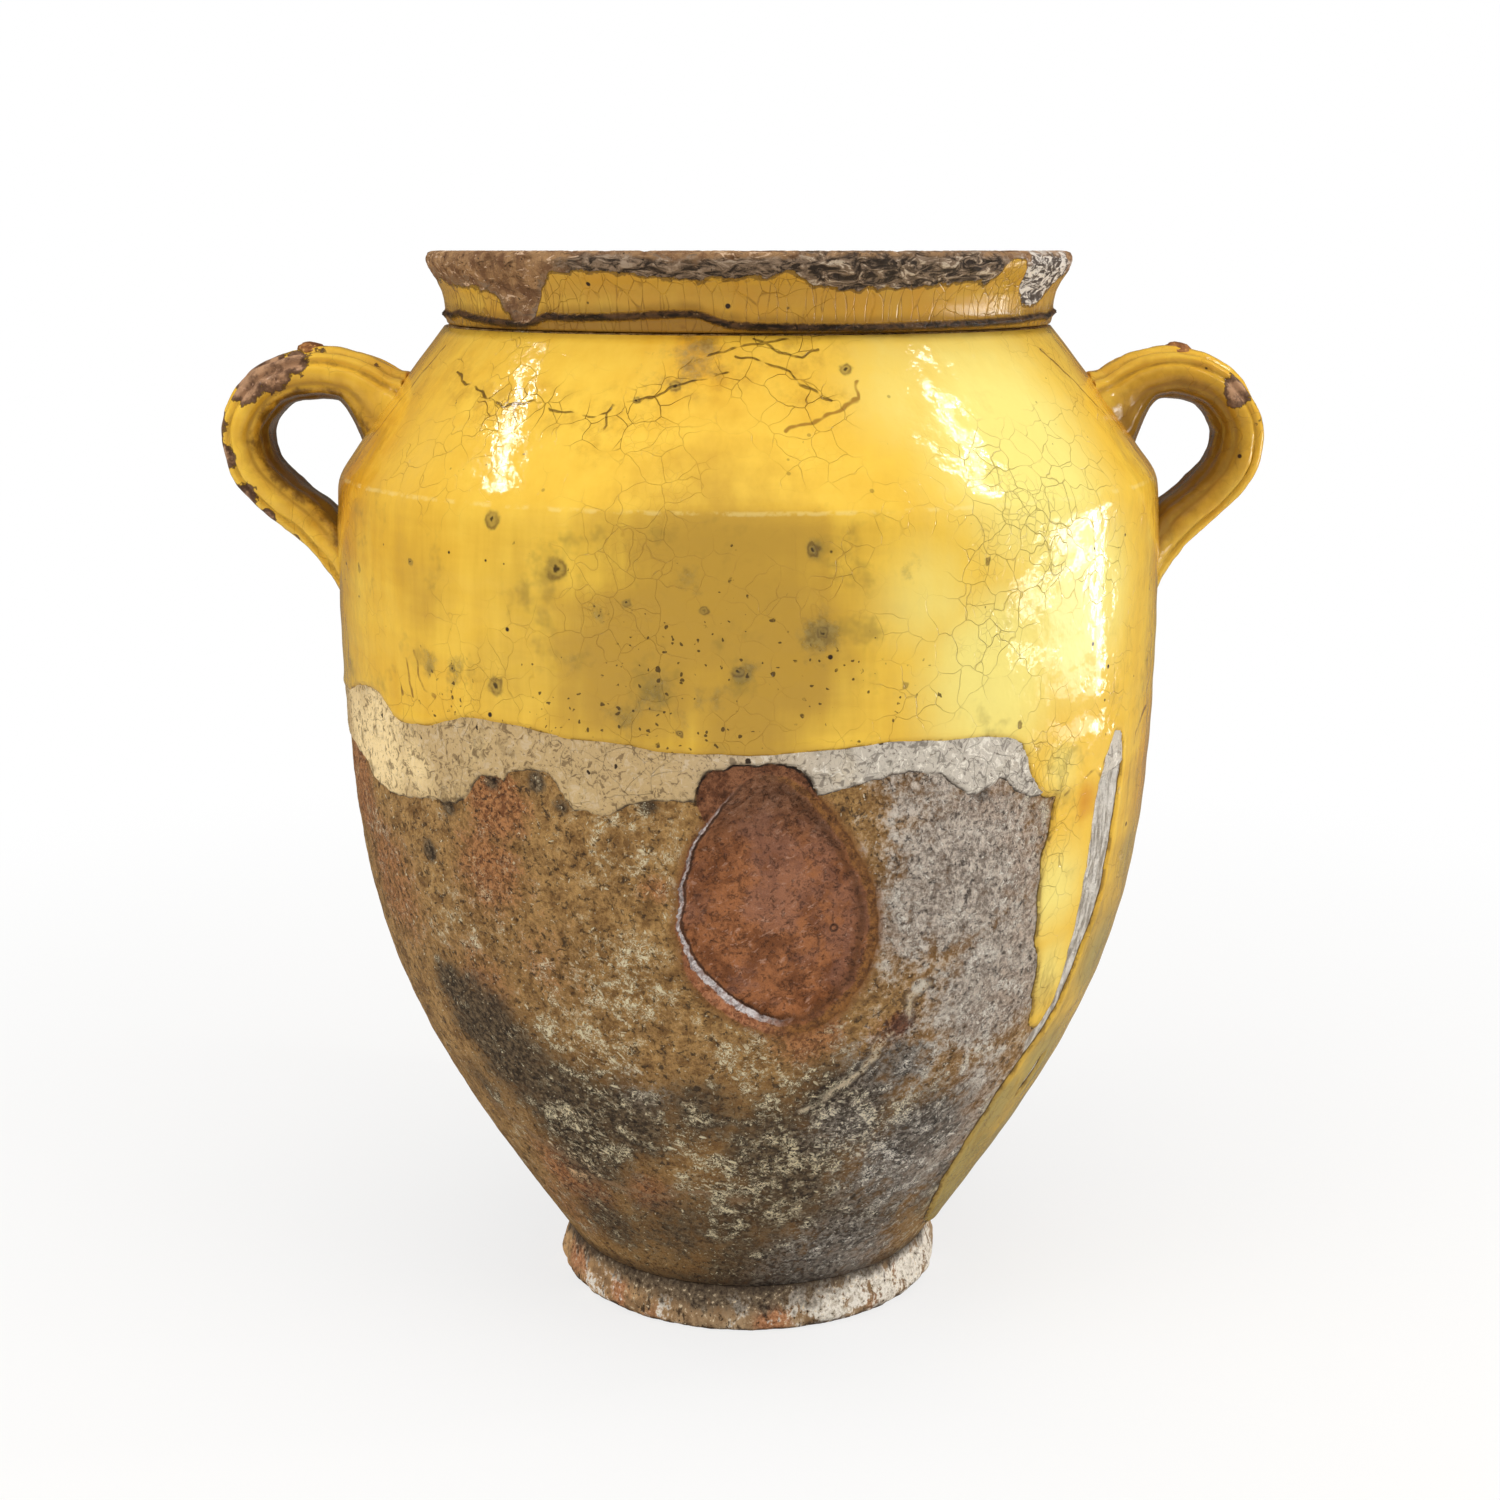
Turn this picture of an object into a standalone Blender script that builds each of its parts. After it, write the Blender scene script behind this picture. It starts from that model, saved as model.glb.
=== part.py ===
# Two-handled confit jar of glazed earthenware.
# The jar is built in the order a potter works: a lower wall thrown with its floor, a shoulder thrown
# apart and set on it, a foot coil, a folded collar, two pulled strap handles with their clay buttons,
# then the white slip, the yellow outer glaze and the glaze lining.
# Metres, +Z up. The origin is the middle of the ring that the foot stands on. The front faces -Y.

import math

import bmesh
import bpy
from mathutils import Matrix, Vector
from mathutils.geometry import interpolate_bezier

# Heights, stacked from the ground up
FOOT_HEIGHT = 0.016
BELLY_RISE = 0.230
DRUM_RISE = 0.036
SHOULDER_RISE = 0.054
COLLAR_HEIGHT = 0.024

# Outside radii of the clay
FOOT_NECK_RADIUS = 0.0656
FOOT_FLARE = 0.0029
FOOT_FLARE_HEIGHT = 0.004
FOOT_UNDERCUT = 0.0010
BELLY_RADIUS = 0.1391
SHOULDER_TAPER = 0.0009
NECK_RADIUS = 0.1005
RIM_FLARE = 0.0081

# Shape of the belly curve: its lean at the foot and how far each end's tangent pulls it
BELLY_LEAN = math.radians(34.5)
BELLY_FOOT_PULL = 0.118
BELLY_TOP_PULL = 0.102

# Shape of the shoulder: the rounding of its edge and the slight swell of its slope
SHOULDER_ROUND = 0.014
SHOULDER_SWELL = 0.0020

# Thicknesses
WALL_THICKNESS = 0.009
FLOOR_THICKNESS = 0.0145
FLOOR_CORNER = 0.009
BASE_HOLLOW = 0.0015
FOOT_COIL_WIDTH = 0.009
FOOT_SEAT_DEPTH = 0.002
RIM_THICKNESS = 0.0115
RIM_ROUND = 0.0038
SLIP_THICKNESS = 0.0004
GLAZE_THICKNESS = 0.0006
LINING_THICKNESS = 0.0006

# Collar: the waist below its flare, and the folded lip at its bottom
WAIST_STANDOUT = 0.0015
WAIST_HEIGHT = 0.006
LIP_STANDOUT = 0.0029
LIP_ROUND = 0.0017
LIP_REACH = 0.0095

# How far the lining climbs the inside of the collar, which is left bare above it
LINING_RISE = 0.009

# Gaps between pieces that seat on each other, and the narrowest slip that shows below the glaze
SEAT_GAP = 0.0003
SLIP_LEAST = 0.003

# Strap handles. Rises and drops are measured from the shoulder edge, reach from the belly
LEFT_HANDLE_REACH = 0.0402
RIGHT_HANDLE_REACH = 0.0360
HANDLE_TOP_RISE = 0.0448
UPPER_ROOT_RISE = 0.0280
LOWER_ROOT_DROP = 0.0200
STRAP_WIDTH = 0.030
STRAP_THICKNESS = 0.0145
STRAP_FULLNESS = 2.6
RIB_DEPTH = 0.0017
RIB_COUNT = 3
ROOT_BURY = 0.009
BUTTON_RADIUS = 0.0055
BUTTON_HEIGHT = 0.0038
BUTTON_SINK = 0.0025

# The bend of a handle: share of the loop's reach, share of its height, and how much the strap swells
HANDLE_BEND = [
    (0.20, 0.965, 1.12), (0.52, 1.0, 1.0), (0.82, 0.91, 1.0), (1.0, 0.68, 1.0), (0.96, 0.46, 1.0),
    (0.78, 0.28, 1.0),
]
UPPER_SWELL_RATIO = 1.32
LOWER_SWELL_RATIO = 1.45

# Pear-shaped spall in the front of the lower wall, and the slip left between it and the glaze
SPALL_ANGLE = math.radians(4.0)
SLIP_OVER_SPALL = 0.0046
SPALL_WIDTH = 0.061
SPALL_LENGTH = 0.0845
SPALL_DEPTH = 0.0048
# Its outline, in shares of half the width and half the length
SPALL_OUTLINE = [
    (-0.14, 1.0), (0.24, 0.89), (0.66, 0.52), (0.90, 0.18), (0.98, -0.20), (0.86, -0.60),
    (0.45, -0.92), (0.0, -1.0), (-0.50, -0.85), (-0.86, -0.54), (-1.0, -0.08), (-0.87, 0.43),
    (-0.55, 0.80),
]

# How the potter's hand left the edges. Each pair is an angle round the jar, in degrees from the front
# towards +X, and a drop below the shoulder edge
GLAZE_EDGE = [
    (-180, 0.063), (-140, 0.070), (-100, 0.064), (-76, 0.065), (-59, 0.058), (-50, 0.065),
    (-42, 0.062), (-33, 0.059), (-18, 0.062), (0, 0.0645), (18, 0.062), (32, 0.064), (40, 0.078),
    (112, 0.072), (130, 0.060), (155, 0.068),
]
SLIP_EDGE = [
    (-180, 0.084), (-150, 0.092), (-120, 0.083), (-95, 0.088), (-73, 0.080), (-57, 0.090),
    (-42, 0.087), (-36, 0.077), (-26, 0.072), (-20, 0.084), (-10, 0.078), (8, 0.077), (18, 0.071),
    (27, 0.080), (32, 0.077), (40, 0.086), (112, 0.080), (135, 0.090), (160, 0.080),
]
# How far the folded lip was pushed up as it was pressed on. It steps down just left of the front
LIP_WAVE = [
    (-180, 0.0022), (-130, 0.0012), (-76, 0.0023), (-58, 0.0028), (-40, 0.0015), (-24, 0.0025),
    (-9, 0.0029), (-2, 0.0008), (17, 0.0002), (40, 0.0008), (75, 0.0019), (130, 0.0024),
]

# The glaze run down the right side, from edge to edge, and where it stopped above the foot
RUN_START = 44
RUN_END = 106
RUN_SIDE = 10
RUN_STOP = 0.008

# Facets: one turning step serves every piece of the wall, so their flats lie parallel
TURN_STEPS = 48
EDGE_STEPS = 96
OUTER_STOPS = 6
INNER_STOPS = 3
STRAP_FACE_SHARE = 0.9

# Points closer than this are one point
WELD = 0.00001

# Share of a rounding's radius that its tangents span, for a quarter turn
ROUND_SHARE = 0.55

SHOULDER_HEIGHT = FOOT_HEIGHT + BELLY_RISE + DRUM_RISE
NECK_HEIGHT = SHOULDER_HEIGHT + SHOULDER_RISE
JAR_HEIGHT = NECK_HEIGHT + COLLAR_HEIGHT
FLOOR_HEIGHT = BASE_HOLLOW + FLOOR_THICKNESS
SHOULDER_RADIUS = BELLY_RADIUS - SHOULDER_TAPER
RIM_RADIUS = NECK_RADIUS + RIM_FLARE
COIL_RADIUS = FOOT_NECK_RADIUS + FOOT_FLARE
COIL_SEAT_RADIUS = COIL_RADIUS - FOOT_UNDERCUT - FOOT_COIL_WIDTH

CLAY = ("bare_clay", (0.40, 0.24, 0.13), 0.85)
FOOT_CLAY = ("foot_clay", (0.50, 0.33, 0.20), 0.85)
SLIP = ("white_slip", (0.62, 0.54, 0.38), 0.60)
YELLOW = ("yellow_glaze", (0.86, 0.56, 0.09), 0.15)
LINING = ("lining_glaze", (0.72, 0.44, 0.10), 0.20)
HANDLE_GLAZE = ("handle_glaze", (0.72, 0.42, 0.07), 0.18)
BUTTON_CLAY = ("button_clay", (0.42, 0.20, 0.08), 0.45)


def clear_scene():
    for thing in list(bpy.data.objects):
        bpy.data.objects.remove(thing)


def new_collection(name):
    group = bpy.data.collections.new(name)
    bpy.context.scene.collection.children.link(group)
    return group


def finish_with(piece, finish):
    """Gives a piece its own material, from a name, a colour and a roughness."""
    name, colour, roughness = finish
    material = bpy.data.materials.new(f"{piece.name}_{name}")
    material.use_nodes = True
    shader = material.node_tree.nodes["Principled BSDF"]
    shader.inputs["Base Color"].default_value = (*colour, 1.0)
    shader.inputs["Roughness"].default_value = roughness
    shader.inputs["Metallic"].default_value = 0.0
    piece.data.materials.clear()
    piece.data.materials.append(material)


# Profiles: lists of (radius, height)


def curve_between(start, start_pull, end_pull, end, segments):
    """Points of one Bezier stretch of a profile."""
    points = interpolate_bezier(
        Vector((*start, 0)),
        Vector((*start_pull, 0)),
        Vector((*end_pull, 0)),
        Vector((*end, 0)),
        segments + 1,
    )
    return [(p.x, p.y) for p in points]


def lower_outline():
    """Outside of the lower wall, from the foot's neck up to the shoulder edge."""
    foot = (FOOT_NECK_RADIUS, FOOT_HEIGHT)
    widest = (BELLY_RADIUS, FOOT_HEIGHT + BELLY_RISE)
    edge = (SHOULDER_RADIUS, SHOULDER_HEIGHT)
    foot_pull = (
        foot[0] + BELLY_FOOT_PULL * math.sin(BELLY_LEAN),
        foot[1] + BELLY_FOOT_PULL * math.cos(BELLY_LEAN),
    )
    belly_pull = (widest[0], widest[1] - BELLY_TOP_PULL)
    drum_pull = (widest[0], widest[1] + DRUM_RISE / 2)
    belly = curve_between(foot, foot_pull, belly_pull, widest, 9)
    drum = curve_between(widest, drum_pull, drum_pull, edge, 2)
    return belly + drum[1:]


def upper_outline():
    """Outside of the shoulder, from its rounded edge up the slope to the neck."""
    edge = Vector((SHOULDER_RADIUS, SHOULDER_HEIGHT))
    neck = Vector((NECK_RADIUS, NECK_HEIGHT))
    slope = (neck - edge).normalized()
    swell = Vector((slope.y, -slope.x)) * SHOULDER_SWELL
    landing = edge + slope * SHOULDER_ROUND + swell
    edge_pull = edge + Vector((0, SHOULDER_ROUND * 0.4))
    landing_pull = landing - slope * SHOULDER_ROUND * 0.4
    return curve_between(edge, edge_pull, landing_pull, landing, 3) + [tuple(neck)]


def outside_line():
    return lower_outline() + upper_outline()[1:]


def inside_line():
    """Inside of the clay, from the middle of the floor out and up to the neck."""
    wall = offset_line(outside_line(), -WALL_THICKNESS)
    wall = above(wall, FLOOR_HEIGHT + FLOOR_CORNER)
    wall[-1] = (NECK_RADIUS - WALL_THICKNESS, NECK_HEIGHT)
    wall_foot = wall[0]
    bend = (wall_foot[0] - FLOOR_CORNER * math.tan(BELLY_LEAN), FLOOR_HEIGHT)
    floor_edge = (bend[0] - FLOOR_CORNER, FLOOR_HEIGHT)
    corner = curve_between(floor_edge, bend, bend, wall_foot, 3)
    return [(0, FLOOR_HEIGHT)] + corner[:-1] + wall


def throat_line():
    """Inside of the collar, from the neck up to the top of the rim."""
    neck_inner = NECK_RADIUS - WALL_THICKNESS
    rim_inner = RIM_RADIUS - RIM_THICKNESS
    base = NECK_HEIGHT + SEAT_GAP
    return [
        (neck_inner, base),
        (neck_inner + (rim_inner - neck_inner) * 0.15, base + LINING_RISE),
        (rim_inner - RIM_ROUND * 0.3, JAR_HEIGHT - RIM_ROUND),
        (rim_inner + RIM_ROUND * 0.4, JAR_HEIGHT),
    ]


def offset_line(points, distance):
    """The same profile set off square to itself: outwards if distance is positive."""
    count = len(points)
    normals = []
    for (r0, z0), (r1, z1) in zip(points, points[1:]):
        length = math.hypot(r1 - r0, z1 - z0)
        normals.append(Vector(((z1 - z0) / length, (r0 - r1) / length)))
    moved = []
    for i, point in enumerate(points):
        before = normals[max(i - 1, 0)]
        after = normals[min(i, count - 2)]
        both = before + after
        moved.append(tuple(Vector(point) + both * (2 * distance / both.length_squared)))
    return moved


def radius_at(line, height):
    """Radius of a rising profile at a height."""
    for (r0, z0), (r1, z1) in zip(line, line[1:]):
        if z0 <= height <= z1:
            return r0 + (r1 - r0) * (height - z0) / (z1 - z0)
    return line[0][0] if height < line[0][1] else line[-1][0]


def above(line, height):
    """The part of a rising profile above a height, starting exactly on it."""
    return [(radius_at(line, height), height)] + [p for p in line if p[1] > height + 0.001]


def below(line, height):
    """The part of a rising profile below a height, ending exactly on it."""
    return [p for p in line if p[1] < height - 0.001] + [(radius_at(line, height), height)]


def edge_height(pairs, angle):
    """Drop read from a hand-drawn edge at an angle in degrees, eased between its points."""
    angle = (angle + 180) % 360 - 180
    wrapped = pairs + [(pairs[0][0] + 360, pairs[0][1])]
    for (a0, d0), (a1, d1) in zip(wrapped, wrapped[1:]):
        if a0 <= angle <= a1:
            share = (angle - a0) / (a1 - a0)
            share = share * share * (3 - 2 * share)
            return d0 + (d1 - d0) * share
    return wrapped[-1][1]


def run_share(angle):
    """1 inside the glaze run, 0 away from it, eased at its two sides."""
    angle = (angle + 180) % 360 - 180
    rise = min(max((angle - RUN_START) / RUN_SIDE, 0), 1)
    fall = min(max((RUN_END - angle) / RUN_SIDE, 0), 1)
    share = min(rise, fall)
    return share * share * (3 - 2 * share)


def glaze_edge(angle):
    edge = SHOULDER_HEIGHT - edge_height(GLAZE_EDGE, angle)
    return edge + (FOOT_HEIGHT + RUN_STOP - edge) * run_share(angle)


def slip_edge(angle):
    return SHOULDER_HEIGHT - edge_height(SLIP_EDGE, angle)


# Solids


def turned(name, profile, group, closed=True):
    """A profile turned round the axis. It runs down its outer side; an open one starts and ends there."""
    mesh = bpy.data.meshes.new(name)
    edges = [(i, i + 1) for i in range(len(profile) - 1)]
    if closed:
        edges.append((len(profile) - 1, 0))
    mesh.from_pydata([(r, 0, z) for r, z in profile], edges, [])
    piece = bpy.data.objects.new(name, mesh)
    group.objects.link(piece)
    screw = piece.modifiers.new("turn", "SCREW")
    screw.steps = TURN_STEPS
    screw.render_steps = TURN_STEPS
    screw.use_merge_vertices = True
    screw.merge_threshold = WELD
    return piece


def made_real(piece):
    """Replaces a piece by a plain mesh of its evaluated shape, welded and facing outwards."""
    graph = bpy.context.evaluated_depsgraph_get()
    graph.update()
    mesh = bpy.data.meshes.new_from_object(piece.evaluated_get(graph))
    form = bmesh.new()
    form.from_mesh(mesh)
    bmesh.ops.remove_doubles(form, verts=form.verts, dist=WELD)
    bmesh.ops.recalc_face_normals(form, faces=form.faces)
    form.to_mesh(mesh)
    form.free()
    solid = bpy.data.objects.new("swap", mesh)
    solid.matrix_world = piece.matrix_world
    for group in list(piece.users_collection):
        group.objects.link(solid)
    name = piece.name
    bpy.data.objects.remove(piece)
    solid.name = name
    return solid


def cut(piece, cutter, operation="DIFFERENCE"):
    boolean = piece.modifiers.new(f"cut_{cutter.name}", "BOOLEAN")
    boolean.operation = operation
    boolean.solver = "EXACT"
    boolean.object = cutter


def as_cutter(piece):
    piece.hide_render = True
    piece.display_type = "WIRE"
    return piece


def edge_ring(name, low, high, group):
    """A wide ring between two wavy edges, low(angle) and high(angle), open where they nearly meet."""
    inner, outer = FOOT_NECK_RADIUS * 0.5, BELLY_RADIUS * 1.4

    def angle_of(place):
        return math.degrees(math.atan2(place.x, -place.y))

    form = bmesh.new()
    half_step = Matrix.Rotation(math.pi / EDGE_STEPS, 4, "Z")
    bmesh.ops.create_circle(form, radius=inner, segments=EDGE_STEPS, matrix=half_step)
    wide = bmesh.ops.extrude_edge_only(form, edges=list(form.edges))["geom"]
    for vert in [e for e in wide if isinstance(e, bmesh.types.BMVert)]:
        vert.co *= outer / inner
    closed = []
    for face in form.faces:
        middle = angle_of(face.calc_center_median())
        if high(middle) - low(middle) < SLIP_LEAST:
            closed.append(face)
    bmesh.ops.delete(form, geom=closed, context="FACES")
    up = bmesh.ops.extrude_face_region(form, geom=list(form.faces))["geom"]
    upper = {e for e in up if isinstance(e, bmesh.types.BMVert)}
    for vert in form.verts:
        edge = high if vert in upper else low
        vert.co.z = edge(angle_of(vert.co))
    bmesh.ops.triangulate(form, faces=form.faces, quad_method="FIXED")
    bmesh.ops.recalc_face_normals(form, faces=form.faces)
    mesh = bpy.data.meshes.new(name)
    form.to_mesh(mesh)
    form.free()
    cutter = bpy.data.objects.new(name, mesh)
    group.objects.link(cutter)
    return as_cutter(cutter)


def body_core(name, set_off, group):
    """The jar as a filled solid, set off from the clay, for seating what is luted on it."""
    line = offset_line(outside_line(), set_off)
    profile = [(0, line[-1][1])] + line[::-1] + [(0, line[0][1])]
    return as_cutter(made_real(turned(name, profile, group, closed=False)))


def make_lower_body(group):
    """Floor and wall up to the shoulder edge, rebated underneath for the foot coil."""
    seam = SHOULDER_HEIGHT - SEAT_GAP / 2
    outside = below(lower_outline(), seam)
    inside = below(inside_line(), seam)
    under = [
        (COIL_SEAT_RADIUS, FOOT_HEIGHT - FOOT_SEAT_DEPTH),
        (COIL_SEAT_RADIUS, BASE_HOLLOW),
        (0, BASE_HOLLOW),
    ]
    return turned("lower_body", inside + outside[::-1] + under, group, closed=False)


def make_foot_ring(group):
    """A flared coil pressed round the base, standing a little below it."""
    top = (FOOT_NECK_RADIUS, FOOT_HEIGHT - SEAT_GAP)
    widest = (COIL_RADIUS, FOOT_FLARE_HEIGHT)
    half_way = (FOOT_HEIGHT + FOOT_FLARE_HEIGHT) / 2
    flare = curve_between(top, (top[0], half_way), (widest[0], half_way), widest, 4)
    tread = [
        (COIL_RADIUS - FOOT_UNDERCUT * (1 - ROUND_SHARE), FOOT_FLARE_HEIGHT * (1 - ROUND_SHARE) / 2),
        (COIL_RADIUS - FOOT_UNDERCUT, 0),
        (COIL_SEAT_RADIUS + SEAT_GAP, 0),
        (COIL_SEAT_RADIUS + SEAT_GAP, FOOT_HEIGHT - FOOT_SEAT_DEPTH - SEAT_GAP),
    ]
    return turned("foot_ring", flare + tread, group)


def make_upper_body(group):
    """The shoulder, thrown apart and set on the lower wall."""
    seam = SHOULDER_HEIGHT + SEAT_GAP / 2
    outside = above(upper_outline(), seam)
    inside = above(inside_line(), seam)
    return turned("upper_body", outside[::-1] + inside, group)


def make_rim_collar(group):
    """The flared band on the neck. Its folded lower lip stands out over the shoulder and waves."""
    base = NECK_HEIGHT + SEAT_GAP
    crown_start = (RIM_RADIUS - RIM_ROUND, JAR_HEIGHT)
    crown_end = (RIM_RADIUS, JAR_HEIGHT - RIM_ROUND)
    crown_pull = (RIM_RADIUS - RIM_ROUND * (1 - ROUND_SHARE), JAR_HEIGHT)
    crown_end_pull = (RIM_RADIUS, JAR_HEIGHT - RIM_ROUND * (1 - ROUND_SHARE))
    crown = curve_between(crown_start, crown_pull, crown_end_pull, crown_end, 3)
    waist = (NECK_RADIUS + WAIST_STANDOUT, base + WAIST_HEIGHT)
    half_way = (waist[1] + crown_end[1]) / 2
    flare = curve_between(crown_end, (crown_end[0], half_way), (waist[0], half_way), waist, 4)
    fold_middle = (NECK_RADIUS + LIP_STANDOUT - LIP_ROUND, base + LIP_ROUND + SEAT_GAP)
    fold = []
    for turn in (60, 15, -30, -75):
        out, up = math.cos(math.radians(turn)), math.sin(math.radians(turn))
        fold.append((fold_middle[0] + LIP_ROUND * out, fold_middle[1] + LIP_ROUND * up))
    seat = [(NECK_RADIUS, base)]
    profile = crown + flare[1:] + fold + seat + throat_line()
    collar = made_real(turned("rim_collar", profile, group))
    for vert in collar.data.vertices:
        height = vert.co.z - base
        if 0 < height < LIP_REACH and math.hypot(vert.co.x, vert.co.y) > NECK_RADIUS:
            angle = math.degrees(math.atan2(vert.co.x, -vert.co.y))
            vert.co.z += edge_height(LIP_WAVE, angle) * (1 - (height / LIP_REACH) ** 2)
    return collar


def strap_section(name, grow, group):
    """Cross-section of the pulled strap: ribs along its outer face, rounded sides, a plain inner face."""

    def swell(share):
        return (1 - abs(share) ** STRAP_FULLNESS) ** (1 / STRAP_FULLNESS)

    outline = [(-STRAP_WIDTH / 2, 0)]
    for i in range(-OUTER_STOPS, OUTER_STOPS + 1):
        share = STRAP_FACE_SHARE * i / OUTER_STOPS
        groove = 0.5 + 0.5 * math.cos(math.pi * RIB_COUNT * (share + 1))
        out = STRAP_THICKNESS / 2 * swell(share) - RIB_DEPTH * groove * swell(share)
        outline.append((share * STRAP_WIDTH / 2, out))
    outline.append((STRAP_WIDTH / 2, 0))
    for i in range(INNER_STOPS, -INNER_STOPS - 1, -1):
        share = STRAP_FACE_SHARE * i / INNER_STOPS
        outline.append((share * STRAP_WIDTH / 2, -STRAP_THICKNESS / 2 * swell(share)))

    section = bpy.data.curves.new(name, "CURVE")
    section.dimensions = "2D"
    line = section.splines.new("POLY")
    line.points.add(len(outline) - 1)
    for spot, place in zip(line.points, outline):
        grown = Vector(place) + Vector(place).normalized() * grow
        spot.co = (grown.x, grown.y, 0, 1)
    line.use_cyclic_u = True
    holder = bpy.data.objects.new(name, section)
    group.objects.link(holder)
    return as_cutter(holder)


def handle_path(reach):
    """Centre line of a handle in its own upright plane, from the upper root round to the lower one."""
    outside = outside_line()
    upper = SHOULDER_HEIGHT + UPPER_ROOT_RISE
    lower = SHOULDER_HEIGHT - LOWER_ROOT_DROP
    upper_wall = radius_at(outside, upper)
    lower_wall = radius_at(outside, lower)
    loop = BELLY_RADIUS + reach - STRAP_THICKNESS / 2 - upper_wall
    rise = SHOULDER_HEIGHT + HANDLE_TOP_RISE - STRAP_THICKNESS / 2 - lower
    bend = [(upper_wall + out * loop, lower + up * rise, swell) for out, up, swell in HANDLE_BEND]
    neck = (lower_wall + ROOT_BURY, lower + ROOT_BURY * 0.75, (1 + LOWER_SWELL_RATIO) / 2)
    upper_root = (upper_wall - ROOT_BURY, upper - ROOT_BURY * 0.9, UPPER_SWELL_RATIO)
    lower_root = (lower_wall - ROOT_BURY, lower - ROOT_BURY * 0.6, LOWER_SWELL_RATIO)
    return [upper_root] + bend + [neck, lower_root]


def strap_sweep(name, side, reach, grow, group, cutters):
    """The strap section swept along a handle's centre line, as a closed mesh."""
    path = bpy.data.curves.new(name, "CURVE")
    path.dimensions = "3D"
    path.twist_mode = "MINIMUM"
    path.resolution_u = 4
    path.bevel_mode = "OBJECT"
    path.bevel_object = strap_section(f"{name}_section", grow, cutters)
    path.use_fill_caps = True
    line = path.splines.new("BEZIER")
    route = handle_path(reach)
    line.bezier_points.add(len(route) - 1)
    for spot, (x, z, swell) in zip(line.bezier_points, route):
        spot.co = (side * x, 0, z)
        spot.radius = swell
        spot.handle_left_type = "AUTO"
        spot.handle_right_type = "AUTO"
    sweep = bpy.data.objects.new(name, path)
    group.objects.link(sweep)
    return made_real(sweep)


def make_handle(name, side, reach, core, group, cutters):
    """A strap handle with both roots cut to the wall they are luted on, and its cutter for the coats."""
    handle = strap_sweep(name, side, reach, 0, group, cutters)
    cut(handle, core)
    clearance = as_cutter(strap_sweep(f"{name}_room", side, reach, SEAT_GAP, cutters, cutters))
    return handle, clearance


def make_button(name, side, reach, room, group):
    """The dab of clay on top of a handle, seated on the strap."""
    form = bmesh.new()
    bmesh.ops.create_uvsphere(form, u_segments=16, v_segments=10, radius=1.0)
    height = BUTTON_HEIGHT + BUTTON_SINK
    bmesh.ops.scale(form, vec=(BUTTON_RADIUS, BUTTON_RADIUS, height), verts=form.verts)
    mesh = bpy.data.meshes.new(name)
    form.to_mesh(mesh)
    form.free()
    button = bpy.data.objects.new(name, mesh)
    highest = max(handle_path(reach), key=lambda spot: spot[1])
    button.location = (side * highest[0], 0, highest[1] + STRAP_THICKNESS / 2 - BUTTON_SINK)
    group.objects.link(button)
    cut(button, room)
    return button


def make_spall_cutter(cutters):
    """The pear that flaked off: a pear outline driven into the wall, less the clay left behind it."""
    outline = bpy.data.curves.new("spall_cutter", "CURVE")
    outline.dimensions = "2D"
    outline.fill_mode = "BOTH"
    outline.extrude = BELLY_RADIUS * 0.35
    line = outline.splines.new("BEZIER")
    line.bezier_points.add(len(SPALL_OUTLINE) - 1)
    for spot, (x, z) in zip(line.bezier_points, SPALL_OUTLINE):
        spot.co = (x * SPALL_WIDTH / 2, z * SPALL_LENGTH / 2, 0)
        spot.handle_left_type = "AUTO"
        spot.handle_right_type = "AUTO"
    line.use_cyclic_u = True
    outline.resolution_u = 2
    cutter = bpy.data.objects.new("spall_cutter", outline)
    middle = glaze_edge(math.degrees(SPALL_ANGLE)) - SLIP_OVER_SPALL - SPALL_LENGTH / 2
    spot = Vector((math.sin(SPALL_ANGLE), -math.cos(SPALL_ANGLE), 0)) * BELLY_RADIUS
    stand = Matrix.Rotation(SPALL_ANGLE, 4, "Z") @ Matrix.Rotation(math.radians(90), 4, "X")
    cutter.matrix_world = Matrix.Translation(spot + Vector((0, 0, middle))) @ stand
    cutters.objects.link(cutter)
    bpy.context.view_layer.update()
    cutter = as_cutter(made_real(cutter))
    cut(cutter, body_core("spall_floor", -SPALL_DEPTH, cutters))
    return cutter


def make_coat(name, thickness, group):
    """A thin layer over the outside of the wall, from under the collar's lip to the foot."""
    line = below(outside_line(), NECK_HEIGHT - SEAT_GAP)
    inner = offset_line(line, SEAT_GAP)
    outer = offset_line(line, SEAT_GAP + thickness)
    return turned(name, outer[::-1] + inner, group)


def make_lining(group):
    """The glaze that lines the floor, the wall and the lower part of the collar's inside."""
    line = inside_line() + throat_line()[1:2]
    near = offset_line(line, -SEAT_GAP)
    far = offset_line(line, -SEAT_GAP - LINING_THICKNESS)
    return turned("inner_glaze", far + near[::-1], group, closed=False)


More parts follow.
